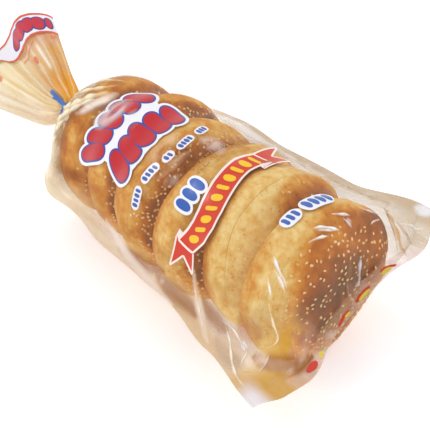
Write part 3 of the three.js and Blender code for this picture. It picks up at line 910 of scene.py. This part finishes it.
def seed_tree():
    """Scatters seeds over a crust, thickest where its attribute seeds is 1."""
    tree = bpy.data.node_groups.new("scatter_seeds", "GeometryNodeTree")
    for label, kind in (("Crust", "Geometry"), ("Seed shape", "Object"),
                        ("Per square metre", "Float"), ("Least gap", "Float"),
                        ("Random start", "Int"), ("Finish", "Material"),
                        ("Seeds", "Geometry")):
        way = "OUTPUT" if label == "Seeds" else "INPUT"
        tree.interface.new_socket(label, in_out=way, socket_type="NodeSocket" + kind)
    given = add(tree, "NodeGroupInput").outputs
    share = add(tree, "GeometryNodeInputNamedAttribute", {"Name": "seeds"}, data_type="FLOAT")
    spots = add(tree, "GeometryNodeDistributePointsOnFaces", {
        "Mesh": given["Crust"], "Distance Min": given["Least gap"],
        "Density Max": given["Per square metre"], "Density Factor": share,
        "Seed": given["Random start"]}, distribute_method="POISSON")
    spin = add(tree, "FunctionNodeRandomValue", {
        "Min": (-0.12, -0.12, 0), "Max": (0.12, 0.12, 2 * math.pi),
        "Seed": given["Random start"]}, data_type="FLOAT_VECTOR")
    size = add(tree, "FunctionNodeRandomValue", {
        "Min": 0.78, "Max": 1.15, "Seed": given["Random start"]}, data_type="FLOAT")
    turn = add(tree, "FunctionNodeRotateRotation", {
        "Rotation": spots.outputs["Rotation"], "Rotate By": spin}, rotation_space="LOCAL")
    shape = add(tree, "GeometryNodeObjectInfo", {"Object": given["Seed shape"]})
    put = add(tree, "GeometryNodeInstanceOnPoints", {
        "Points": spots, "Instance": shape.outputs["Geometry"], "Rotation": turn,
        "Scale": size})
    real = add(tree, "GeometryNodeRealizeInstances", {"Geometry": put})
    finish = add(tree, "GeometryNodeSetMaterial", {
        "Geometry": real, "Material": given["Finish"]})
    add(tree, "NodeGroupOutput", {"Seeds": finish})
    return tree


def scatter(crown, tree, shape, finish, seeding, start):
    """The seeds on one crown, as a plain mesh."""
    modifier = crown.modifiers.new("scatter", "NODES")
    modifier.node_group = tree
    values = {"Seed shape": shape, "Per square metre": float(seeding[0]),
              "Least gap": seeding[1] / 1000, "Random start": start, "Finish": finish}
    for item in tree.interface.items_tree:
        if item.name in values and item.in_out == "INPUT":
            modifier[item.identifier] = values[item.name]
    ready = crown.evaluated_get(bpy.context.evaluated_depsgraph_get())
    mesh = bpy.data.meshes.new_from_object(ready)
    crown.modifiers.remove(modifier)
    mesh.name = crown.name.replace("crown", "seeds")
    return placed(mesh.name, mesh)


sesame = hulled_sesame()
grain = seed_shape()
scatter_seeds = seed_tree()
for number, crown in enumerate(crowns):
    seeds = scatter(crown, scatter_seeds, grain, sesame, SEEDING[number], 7 + number)
    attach(seeds, "root")
    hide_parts("bag")
bpy.data.objects.remove(grain)

# ---- the printing --------------------------------------------------------------------

# Plain motifs lie on the film, layer on layer of ink. Each is a grid of places on the
# flat film, from a stroke (a line with a half width and a kind of end) or between lines.
# How far each ink lies over the film:
LIFTS = {"ink_white": 0.14, "ink_blue": 0.24, "ink_red": 0.33, "ink_vermilion": 0.22,
         "ink_yellow": 0.40}
STEP = 1.3  # how far apart the points of the printing lie
HAIR = 0.004  # between neighbours in one ink, so that none lie in one plane


def spread(line, count):
    """A line's points, spread evenly by length."""
    lengths = path_lengths(line)
    return points_on(line, lengths, np.linspace(0, lengths[-1], count))


def stroke(line, half, ends="round"):
    """Flat places over a stroke, as a grid of points."""
    lengths = path_lengths(line)
    total = lengths[-1]
    count = max(8, int(total / STEP) + 1)
    t = np.linspace(0, 1, count)
    if ends != "flat":
        t = (1 - np.cos(np.linspace(0, np.pi, count))) / 2
    s = t * total
    middle = points_on(line, lengths, s)
    way = unit(np.gradient(middle, axis=0))
    side = np.stack([-way[:, 1], way[:, 0]], -1)
    wide = np.full(count, float(half))
    if ends == "oval":
        wide = half * np.sqrt(np.maximum(1 - np.abs(2 * t - 1) ** 2.6, 1e-4))
    if ends == "round":
        near_end = np.clip(np.minimum(s, total - s) / half, 0, 1)
        wide = half * np.sqrt(np.maximum(1 - (1 - near_end) ** 2, 1e-4))
    across = np.linspace(-1, 1, max(3, int(2 * half / STEP) + 2))
    return middle[:, None] + side[:, None] * (wide[:, None] * across)[..., None]


def between(one, other, columns=9):
    """Flat places between two lines, as a grid of points."""
    longest = max(path_lengths(line)[-1] for line in (one, other))
    count = max(4, int(longest / STEP) + 1)
    a, b = spread(one, count), spread(other, count)
    t = np.linspace(0, 1, columns)[None, :, None]
    return a[:, None] * (1 - t) + b[:, None] * t


def outline_of(*points, half):
    """A thin line through points, each stretch of it a stroke of its own."""
    return [stroke([a, b], half) for a, b in zip(points, points[1:])]


def motif(x, u, long, wide, tilt, kind="oval", more=0.0):
    """A single tilted stroke, made larger all round by more."""
    a, reach = math.radians(tilt), long / 2 + more
    dx, du = reach * math.cos(a), reach * math.sin(a)
    return stroke([(x - dx, u - du), (x + dx, u + du)], wide / 2 + more, kind)


def printed(name, slot, code, grids, place=film_place, raised=0.0):
    """One piece of printing in one ink."""
    parts = []
    for number, grid in enumerate(grids):
        lift = LIFTS[slot] + raised + HAIR * (number % 5)
        points = place(grid[..., 0], grid[..., 1], lift)
        higher = place(grid[..., 0], grid[..., 1], lift + 1)
        faces = grid_faces(*grid.shape[:2])
        middle = faces[len(faces) // 2]
        a, b, c = (points.reshape(-1, 3)[middle[k]] for k in (0, 1, 2))
        out = (higher - points).reshape(-1, 3)[middle[0]]
        if np.dot(np.cross(b - a, c - a), out) < 0:
            faces = faces[:, ::-1]
        parts.append((points, faces.tolist()))
    points, faces = join(parts)
    piece = new_piece(name, points, faces, flexo_ink(name + "_" + slot, code), slot)
    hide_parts("bag")


def crossing(u, *lines):
    """Where along the row lines lie at the place u round the film, on average."""
    found = []
    for line in lines:
        x, around = np.array(sorted(line, key=lambda p: p[1])).T
        found.append(float(np.interp(u, around, x)))
    return sum(found) / len(found)


def row_of(at, u_from, u_to, count, long, wide, tilt, ends="oval", other=None):
    """Motifs in a row round the film, at a place along the row or midway between lines.
    Every second one may be another kind."""
    out = []
    for k in range(count):
        u = lerp(u_from, u_to, (k + 0.5) / count)
        x = crossing(u, *at) if isinstance(at, tuple) else at
        size, kind = other if other and k % 2 else ((long, wide), ends)
        out.append(motif(x, u, *size, tilt, kind))
    return out


# Two rows of red pebbles on scalloped white plates: place along the row, round the film,
# length, width, tilt and kind.
PEBBLES = [
    (80.5, -47.0, 24, 11.8, 10, "oval"), (79.5, -35.5, 24, 10.0, 2, "round"),
    (79.0, -23.5, 24, 11.6, -6, "oval"), (79.5, -11.5, 25, 9.8, 4, "round"),
    (80.5, -0.5, 24, 10.8, 8, "oval"),
    (110.5, -43, 25, 12.4, -12, "oval"), (111, -31, 24, 9.8, -4, "round"),
    (110.5, -19.5, 25, 12.0, 6, "oval"), (111.5, -7.5, 24, 10.0, 4, "round"),
    (112.5, 3.5, 24, 10.6, -4, "oval"),
]


def pebbles(table, more):
    """The pebbles, made larger all round."""
    return [motif(*pebble, more=more) for pebble in table]


printed("plates", "ink_white", "#F1F0F6", pebbles(PEBBLES, 3.4) + [
    stroke([(80, -50), (80, 2)], 13.5), stroke([(112, -48), (112, 4)], 13.5),
    stroke([(96, -48), (96, 3)], 3.5)])
printed("plate_outlines", "ink_blue", "#33469C", pebbles(PEBBLES, 1.3))
printed("plate_shapes", "ink_red", "#C0101F", pebbles(PEBBLES, 0.0))

# A curved strip in five parts, each with its number of marks.
STRIP = [(137, -59), (135.6, -46), (136.9, -34), (139.7, -22.7), (140.9, -10.9), (139.9, 1.3),
         (137, 12.5)]
STRIP_PARTS = [(-59, -44.5, 4), (-42, -27, 4), (-24.5, -15.5, 2), (-13, 0, 4), (2.5, 12.5, 3)]
strip_plates, strip_row = [], []
for low, high, count in STRIP_PARTS:
    strip_plates.append(stroke([(crossing(u, STRIP), u) for u in np.linspace(low, high, 6)], 3.1))
    strip_row += row_of((STRIP,), low + 1.5, high - 1.5, count, 4.3, 2.2, 14, "oval",
                        ((4.1, 1.8), "round"))
printed("curved_strip", "ink_white", "#F1F0F6", strip_plates)
printed("strip_marks", "ink_blue", "#4660AC", strip_row)
printed("mark_plate", "ink_white", "#F1F0F6", row_of(174.4, -43.6, -22.4, 3, 14.2, 9.2, 10))
printed("mark_shapes", "ink_blue", "#2F5CB0", row_of(174.4, -43.6, -22.4, 3, 11.0, 5.6, 10))

# The ribbon: its two long edges, and at each end a fold and a swallow tail.
RIBBON_LEFT = [(179.4, 12.8), (178.2, 0), (179.4, -9.8), (180.6, -18), (182.9, -28.4),
               (184.6, -36), (184.9, -42.6), (183.7, -48.5), (179.9, -57.7)]
RIBBON_RIGHT = [(189.6, 18.0), (190.9, 0), (192.6, -6.8), (196.2, -18.1), (199.9, -29.9),
                (201.4, -40.5), (199.4, -50.2), (193.4, -58.5)]
RIBBON_TAILS = [  # inner corner, tip, notch, tip, inner corner
    [(179.4, 12.8), (172.4, 39.5), (182.9, 24.0), (185.6, 38.5), (194.9, 7.4)],
    [(177.9, -56.8), (181.4, -73.0), (187.4, -63.0), (200.4, -69.5), (193.9, -58.5)],
]
RIBBON_FOLDS = [[(189.6, 18.0), (188.6, 9.5), (191.4, 8.0), (195.2, 7.4)],
                [(180.2, -57.6), (177.6, -56.6), (178.4, -52.0), (182.1, -52.6)]]
ribbon_grids = [between(RIBBON_LEFT, RIBBON_RIGHT)]
for inner, tip, notch, tip_2, inner_2 in RIBBON_TAILS:
    root = lerp(np.array(inner), np.array(inner_2), 0.5)
    ribbon_grids.append(between([inner, tip], [root, notch], 5))
    ribbon_grids.append(between([root, notch], [inner_2, tip_2], 5))
printed("ribbon", "ink_vermilion", "#D43A22", ribbon_grids)
printed("ribbon_folds", "ink_white", "#F3E2E0",
        [between([a, b], [d, c], 4) for a, b, c, d in RIBBON_FOLDS], raised=0.10)
ribbon_lines = [stroke(edge, 0.75, "flat") for edge in (RIBBON_LEFT, RIBBON_RIGHT)]
for end in (0, -1):
    ribbon_lines += outline_of(RIBBON_LEFT[end], RIBBON_RIGHT[end], half=0.7)
for tail in RIBBON_TAILS:
    ribbon_lines += outline_of(*tail, half=0.6)
printed("ribbon_border", "ink_white", "#F8E6DC", ribbon_lines, raised=0.16)
printed("ribbon_marks", "ink_yellow", "#F7C41F",
        row_of((RIBBON_LEFT, RIBBON_RIGHT), -54.5, 12.5, 10, 8.2, 4.6, 20, "oval",
               ((8.6, 2.7), "round")))
printed("label_plate", "ink_white", "#EFF0F8", [
    stroke([(238.6, -17), (238.4, -3)], 4.9), stroke([(237.8, -2), (237.2, 21)], 5.6)])
printed("label_marks", "ink_blue", "#4064B4",
        row_of(238.5, -15.5, -4.5, 3, 6.4, 2.4, 8, "round")
        + row_of(237.6, 0, 19.5, 4, 8.2, 4.0, 8))

# A date stamp of fine square dots beside the plate: two lines of 46 columns of 4, with a
# gap after every fifth column, and only some of them inked.
DOT = 0.35 * np.array([[(-1, -1), (-1, 1)], [(1, -1), (1, 1)]])
draw = np.random.default_rng(31)
dots = []
for line in range(2):
    for k in range(46):
        for j in range(4):
            if draw.random() < 0.7 and k % 6 < 5:
                dots.append(DOT + (163.6 + 4.3 * line + 0.85 * j, -21.0 + 0.95 * k))
printed("date_stamp", "ink_yellow", "#A8783C", dots)

# The lower sheet is printed too; its colours show along the sealed edge.
EDGE_MARKS = [  # name, ink, colour, then lines of (degrees, distance in from the seal), half
    ("edge_red", "ink_vermilion", "#CF3A26", [
        ([(65.5, 1.4), (67, 3.4), (69.5, 4.8), (71.8, 4.0)], 0.8),
        ([(79.5, 2.2), (82, 3.4), (85, 3.4), (88, 2.0)], 0.9),
        ([(92, 2.6), (95.5, 2.6), (99, 1.4), (101, 0.8)], 0.8),
        ([(119.8, 1.6), (121.5, 3.4), (124, 4.2), (125.4, 2.6)], 2.2)]),
    ("edge_yellow", "ink_yellow", "#E2CB4A", [
        ([(67.6, 1.8), (70, 2.6), (72.6, 1.8)], 1.4), ([(80.5, 1.3), (83.5, 1.9), (86.8, 1.3)], 0.9),
        ([(92.5, 1.3), (96, 1.2)], 0.8), ([(114, 1.8), (117, 2.4)], 1.4)]),
    ("edge_green", "ink_yellow", "#B9C46A", [
        ([(82.5, 0.6), (85, 0.7)], 0.5), ([(111.5, 1.3), (113.5, 1.4)], 0.9)]),
]


def edge_place(inward, degrees, lift):
    """Points over the film from a distance in from its seal."""
    return film_spot(seal_x(np.cos(np.radians(degrees))) - inward, degrees, lift)


DEGREES_PER_MM = 1.15  # round the film, by the seal
for name, slot, code, lines in EDGE_MARKS:
    grids = [stroke([(inward, degrees / DEGREES_PER_MM) for degrees, inward in line], half_width)
             * [1, DEGREES_PER_MM] for line, half_width in lines]
    printed(name, slot, code, grids, edge_place)

# The band at the tail's mouth, white between two orange lines, with pebbles of its own.
MOUTH_ANGLES = [0, 90, 96, 101, 112, 150, 180]
MOUTH_FROM = [0.775, 0.765, 0.80, 0.875, 0.90, 0.88, 0.86]


def mouth_from(degrees):
    """Where the band starts, as a fraction of the tail's length, at an angle round it."""
    return np.interp(180 - np.abs(180 - np.asarray(degrees, float) % 360), MOUTH_ANGLES, MOUTH_FROM)


def tail_spot(f, degrees, lift):
    """Points a little over the tail, from places along and round it."""
    return over(tail_point, np.asarray(f, float), np.radians(degrees), lift, 0.004, 0.004, -1)


around_mouth = np.linspace(-8, 352, 181)


def mouth_ring(low, high, columns):
    """Places round the tail between two fractions of its length."""
    t = np.linspace(0, 1, columns)
    f = low[:, None] * (1 - t) + high[:, None] * t
    return np.stack([f, around_mouth[:, None] + 0 * f], -1)


start, end = mouth_from(around_mouth), np.full(181, 0.995)
printed("mouth_band", "ink_white", "#EEEBF3", [mouth_ring(start, end, 9)], tail_spot)
printed("mouth_lines", "ink_vermilion", "#DC5A36", [
    mouth_ring(start - 0.016, start + 0.006, 3), mouth_ring(end - 0.022, end, 3)], tail_spot, 0.08)
MOUTH_PEBBLES = [(105, 12.5, 18, 7.6, 30), (106, 20.5, 18, 8.4, 22), (105.5, 28.5, 17, 7.8, 12),
                 (104.5, 36.2, 17, 8.2, 4), (105, 44.2, 15, 5.0, 0), (106, -20, 13, 6, 0),
                 (106, -34, 12, 5, 0)]
printed("mouth_outlines", "ink_blue", "#3D3F8C", pebbles(MOUTH_PEBBLES, 1.2), tail_place)
printed("mouth_shapes", "ink_red", "#C42138", pebbles(MOUTH_PEBBLES, 0.0), tail_place)
printed("mouth_arcs", "ink_vermilion", "#E08058", [
    stroke([(85, 26.5), (82, 17), (77.5, 9.5), (80.5, 3.5)], 0.7),
    stroke([(91, 1.0), (84, 8), (86, 14), (92, 18)], 0.6),
    stroke([(86, 41), (83, 45)], 2.6, "oval"), stroke([(72, 17), (62, 14.5)], 2.2, "oval"),
    stroke([(90, -22), (88, -27)], 2.8, "oval")], tail_place)

# ---- folds in the film, with painted highlights and reflections -------------------------

# Sharp folds, some golden and some darker, with painted highlights in the white and near-white
# ones: a line of places along and round the film, half width, milkiness, colour and height. Their
# edges are softer than their middles.
FOLDS_AND_HIGHLIGHTS = [
    ([(232.9, 45), (243.2, 51.8), (251.2, 55.8), (255.7, 57), (260, 57), (265.5, 59.2)],
     2.4, 0.95, "#CE9A44", 0.3),
    ([(234, 46.5), (243.6, 53.2), (251, 57.2), (255.4, 58.6), (259.5, 58.8)],
     0.5, 0.85, "#A9742E", 0.5),
    ([(181.4, 83.5), (185.9, 80), (190.4, 75.5), (200.4, 73.5), (207.9, 72.5), (211.9, 69)],
     0.8, 0.75, "#C0924A", 0.4),
    ([(184.9, 28), (197.9, 28), (216.9, 36.5), (227.4, 33.5), (233, 45)],
     1.5, 0.95, "#CFA35C", 0.6),
    ([(250.4, 54), (254.9, 53), (257.9, 51), (262.4, 52)], 0.4, 0.7, "#C8A87C", 0.5),
    ([(238.4, 142.5), (249.4, 149), (258.4, 157.5), (266.4, 163), (274.4, 163.5), (278.9, 161)],
     0.9, 0.95, "#FFF4E2", 0.8),
    ([(238.4, 142.5), (247.4, 142.5), (254.9, 144), (259.9, 146)], 0.8, 0.9, "#FFEFDC", 0.8),
    ([(255.0, 143.6), (258.5, 143.2), (261.6, 143.4)], 1.6, 0.8, "#F1E8EE", 0.3),
    ([(256.5, 145.2), (258.5, 144.8), (260.8, 145.6)], 1.3, 0.7, "#F1E8EE", 0.3),
    ([(262.4, 143.5), (262.9, 150), (265.4, 154.5)], 0.8, 0.85, "#FFF2E0", 0.7),
    ([(249.4, 119), (253.5, 120.6), (257.4, 122.5)], 1.0, 1.0, "#FFFAEE", 0.9),
    ([(257.4, 124), (262.9, 126.5), (267.9, 128), (272.4, 128.5), (273.4, 130.5),
      (270.4, 135.5)], 0.8, 0.85, "#FFF0CE", 0.8),
    ([(273.4, 136), (275.4, 140.5), (275.4, 146.5)], 0.8, 0.8, "#FFF2DC", 0.7),
    ([(246.6, 112.6), (249.6, 114.0), (253, 114.6), (257, 115.6)], 1.4, 1.0, "#FFFFFF", 0.6),
    ([(250.5, 115.6), (254.9, 116.2), (259, 116.6), (263.4, 117.9)], 1.0, 0.95, "#FFF8F2", 0.8),
    ([(254.2, 99.5), (254.4, 96), (254.9, 93), (255.5, 89)], 0.9, 0.95, "#FFFBF0", 0.6),
    ([(255.5, 114.6), (259, 115.4), (262.4, 116.4)], 0.7, 0.8, "#FFF3EA", 0.6),
    ([(266.9, 156), (274.4, 146)], 0.6, 0.7, "#F3D98A", 0.6),
    ([(248.4, 84.5), (249.4, 80), (249.9, 76)], 0.9, 1.0, "#FFF8EC", 0.8),
    ([(250.6, 94.5), (251.6, 91), (253.6, 87), (254.6, 84)], 1.3, 1.0, "#FFFDF6", 0.7),
    ([(252.2, 93), (253.4, 89.5), (254.4, 87)], 0.9, 0.95, "#FFFDF6", 0.6),
    ([(252.2, 68.6), (250.6, 65.4), (249.9, 61.5)], 0.8, 0.9, "#FFF2E6", 0.6),
    ([(250.4, 80.6), (253.8, 78.2)], 1.1, 0.8, "#F6E4DE", 0.4),
    ([(250.6, 79), (252.6, 77.4)], 0.7, 0.6, "#F6E4DE", 0.4),
    ([(245.4, 70), (246.3, 64.5), (246.9, 59.5)], 0.8, 0.8, "#F8E6D0", 0.6),
    ([(258.4, 77.5), (261.0, 80.5), (263.4, 84)], 1.7, 0.75, "#E9DCE2", 0.5),
    ([(262.9, 87), (269, 88), (274.9, 89)], 0.7, 0.65, "#EBCDAE", 0.7),
    ([(248.9, 54), (252.4, 52.5), (258.9, 50)], 0.6, 0.75, "#C0904E", 0.6),
    ([(251.4, 50), (251.4, 40)], 0.8, 0.9, "#FFFDF6", 0.6),
    ([(250.9, 44.5), (255.4, 35.5)], 0.6, 0.9, "#FFFDF6", 0.6),
    ([(24, 118), (33, 119), (40, 118), (44, 112), (48, 106), (52, 100), (56, 95)], 4.2, 1.0,
     "#FFF1CC", 0.5),
    ([(36, 124), (42, 120), (46, 113), (50, 107), (55, 102)], 2.2, 1.0, "#FFF6DC", 0.5),
    ([(30, 128), (37, 127), (41, 121), (45, 115)], 3.4, 1.0, "#FFF1CC", 0.5),
    ([(34, 136), (39, 132), (42, 126), (46, 121)], 2.4, 0.95, "#FFF0CC", 0.5),
    ([(33, 143), (38, 139), (42, 134)], 1.8, 0.9, "#FFEEC8", 0.4),
    ([(28, 108), (38, 105), (44, 100), (50, 94), (54, 88)], 2.0, 0.9, "#FFEEC8", 0.4),
    ([(26, 96), (36, 93), (44, 88), (52, 82)], 1.6, 0.8, "#FFEEC8", 0.4),
    ([(200, 139), (208, 144.5), (216, 149), (226, 154), (237, 163)], 0.8, 0.65, "#FDEEDF", 0.4),
]
REFLECTION_PATCHES = [  # soft reflections that lie over the print too, in flat places
    ([(46, -30), (52, -22), (58, -14), (62, -2)], 6.5, 0.95, "#FBEADB"),
    ([(141, -36), (147, -24), (150, -10)], 5.0, 0.50, "#F6CFA0"),
    ([(131, -33), (134, -18), (132, -4)], 6.0, 0.55, "#F6D2A2"),
    ([(66, -30), (76, -18), (76, -4)], 12.0, 0.60, "#FFF4F4"),
    ([(90, -20), (100, -14)], 8.0, 0.25, "#FFFFFF"),
    ([(144, 4), (156, 1), (172, -3)], 6.0, 0.45, "#EFE0DA"),
    ([(150, -34), (162, -30)], 5.0, 0.18, "#FFF6EC"),
    ([(200, 30), (214, 26)], 5.0, 0.20, "#FFF6EC"),
]

# A fold's section: places across it, and how high and milky each is. One side is sharp.
FOLD_SECTION = [(-1, 0), (-0.75, 1), (-0.3, 0.95), (0.2, 0.65), (0.65, 0.3), (1, 0)]
FOLD_LIFT, NECK_FOLD_LIFT, REFLECTION_LIFT = 0.20, 1.1, 0.6


def fold(line, half, peak, height, lift):
    """Points, faces and milkiness of a soft-edged ridge along a line on the film; on the white ones
    the milkiness is a painted highlight.
    """
    x, degrees = np.array(line, float).T
    lengths = path_lengths(film_at(x, np.radians(degrees)))
    s = np.linspace(0, lengths[-1], int(lengths[-1]) + 4)
    places = points_on(line, lengths, s)
    eased(places, 2)
    low = film_spot(*places.T, lift)
    up = film_spot(*places.T, lift + 1.0) - low
    for values in (low, up):  # a taut fold bridges the small pleats under it
        eased(values, 8)
    side = unit(np.cross(np.gradient(low, axis=0), up))
    t = np.linspace(0, 1, len(s))
    thin = np.sin(np.pi * (0.03 + 0.94 * t)) ** 0.8 * (1 + 0.25 * np.sin(0.6 * s + 9 * half))
    columns, profile = np.array(FOLD_SECTION).T
    middle = low[:, None] + side[:, None] * (half * thin[:, None] * columns)[..., None]
    raised = height * thin[:, None] * profile
    points = middle + up[:, None] * raised[..., None]
    milk_and_sheen = peak * np.minimum(thin[:, None], 1) * profile
    return points, grid_faces(len(s), len(columns))[:, ::-1].tolist(), milk_and_sheen.reshape(-1)


def reflection_patch(line, half, peak):
    """Points, faces and milkiness of a soft painted reflection that follows the film."""
    grid = stroke(line, half, "oval")
    points = film_place(grid[..., 0], grid[..., 1], REFLECTION_LIFT)
    t = np.linspace(0, np.pi, grid.shape[0])[:, None]
    columns = np.linspace(-1, 1, grid.shape[1])
    milk_and_sheen = peak * np.sin(t) ** 0.7 * (1 - columns ** 2)
    milk_and_sheen = milk_and_sheen * np.clip(0.7 + 0.5 * waves(points, 13, 61), 0.12, 1)
    return points, grid_faces(*grid.shape[:2]).tolist(), milk_and_sheen.reshape(-1)


def film_piece(name, made, codes):
    """One piece of film from points, faces and milkiness, each with its colour."""
    points, faces = join([item[:2] for item in made])
    tints = [np.tile(colour(code), (len(milk_and_sheen), 1)) for (_, _, milk_and_sheen), code in zip(made, codes)]
    piece = new_piece(name, points, faces, film, "film", {
        "tint": np.concatenate(tints), "veil": np.concatenate([milk_and_sheen for _, _, milk_and_sheen in made])})
    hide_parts("bag")


film_piece("film_folds", [
    fold(line, half, peak, height, NECK_FOLD_LIFT if line[0][0] < 60 else FOLD_LIFT)
    for line, half, peak, _, height in FOLDS_AND_HIGHLIGHTS], [item[3] for item in FOLDS_AND_HIGHLIGHTS])
film_piece("film_reflections", [reflection_patch(*item[:3]) for item in REFLECTION_PATCHES], [item[3] for item in REFLECTION_PATCHES])

# ---- the twist tie -----------------------------------------------------------------------

TIE_HALF, TIE_THICK = 1.5, 0.75  # half the strip's width and thickness
TIE_RADIUS = NECK_RADIUS + 1.2
TWIST_OUT, TWIST_TURN = 9.4, 122  # where the ends leave the band, in degrees round the neck
TWIST_END = [-13.5, -8.6, 55.2]  # where they meet behind it
TIE_ENDS = [(23, 2.2, 1.8), (13, -1.4, 0.7)]  # out on the tail, to its right, over it


def strip(path, up):
    """A flat strip with round edges along a path, its flat side towards up."""
    way = np.gradient(path, axis=0)
    side = unit(np.cross(way, up))
    up = unit(np.cross(side, way))
    turn = np.linspace(0, 2 * np.pi, 12, endpoint=False)
    wide = TIE_HALF * np.sign(np.cos(turn)) * np.abs(np.cos(turn)) ** 0.5
    thick = TIE_THICK * np.sign(np.sin(turn)) * np.abs(np.sin(turn)) ** 0.7
    points = path[:, None] + side[:, None] * wide[:, None] + up[:, None] * thick[:, None]
    faces = grid_faces(len(path), 12, closed=True).tolist()
    last = (len(path) - 1) * 12
    return points, faces + [list(range(12))[::-1], [last + k for k in range(12)]]


neck = np.array([NECK_X, NECK_SIDE, NECK_HEIGHT], float)
turn = np.linspace(0, 2 * np.pi, 49)
spokes = np.stack([0 * turn, np.cos(turn), np.sin(turn)], -1)
tie_parts = [strip(neck + spokes * TIE_RADIUS, spokes)]
twist = math.radians(TWIST_TURN)
neck_side = neck + TWIST_OUT * np.array([0, np.cos(twist), np.sin(twist)])
for t, w, lift in TIE_ENDS:
    far = tail_place(np.array([t]), np.array([w]), lift)[0]
    bends = [far, lerp(far, neck_side, 0.5), neck_side, TWIST_END]
    path = points_on(bends, range(4), np.linspace(0, 3, 25))
    eased(path, 4)
    tie_parts.append(strip(path, path * 0 + [0.1, -0.6, 0.8]))
tie = new_piece("tie_strip", *join(tie_parts), vinyl_tie(), "tie")
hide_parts("twist_tie")

# ---- the stage ------------------------------------------------------------------------

FLOOR_HALF, FLOOR_DROP = 6, 0.0003  # metres
corners = np.array([(-1, -1, 0), (1, -1, 0), (1, 1, 0), (-1, 1, 0)]) * FLOOR_HALF
floor = placed("floor", new_mesh("floor", corners - [0, 0, FLOOR_DROP], [(0, 1, 2, 3)]))
floor.data.materials.append(white_paper())

ELEVATION, AZIMUTH, DISTANCE, FOCUS_PX, FRAME_PX = 33.2, 52.0, 0.6377, 1027.3, 437
TARGET = Vector((0.07492, -0.00293, 0.0426))


def aim(thing, azimuth, elevation, distance):
    """Puts a camera or a lamp round the pack and turns it to the target."""
    a, e = math.radians(azimuth), math.radians(elevation)
    way = Vector((math.sin(a) * math.cos(e), -math.cos(a) * math.cos(e), math.sin(e)))
    thing.location = TARGET + way * distance
    thing.rotation_euler = way.to_track_quat("Z", "Y").to_euler()


def softbox(name, azimuth, elevation, distance, size, watts):
    """A rectangular soft lamp."""
    light = bpy.data.lights.new(name, "AREA")
    light.shape = "RECTANGLE"
    light.size, light.size_y = size
    light.energy = watts
    aim(placed(name, light), azimuth, elevation, distance)


lens = bpy.data.cameras.new("camera")
lens.sensor_width = 36
lens.lens = FOCUS_PX / FRAME_PX * lens.sensor_width
camera = placed("camera", lens)
aim(camera, AZIMUTH, ELEVATION, DISTANCE)
bpy.context.scene.camera = camera

softbox("key", -30, 50, 1.3, (0.24, 0.20), 2.0)
softbox("back", 200, 64, 1.4, (0.30, 0.22), 1.4)
softbox("fill", 110, 40, 1.6, (0.5, 0.4), 0.8)

world = bpy.data.worlds.new("studio")
world.use_nodes = True
backdrop = world.node_tree.nodes["Background"]
backdrop.inputs["Color"].default_value = (1, 1, 1, 1)
backdrop.inputs["Strength"].default_value = 0.84
bpy.context.scene.world = world
bpy.context.scene.view_settings.view_transform = "Standard"
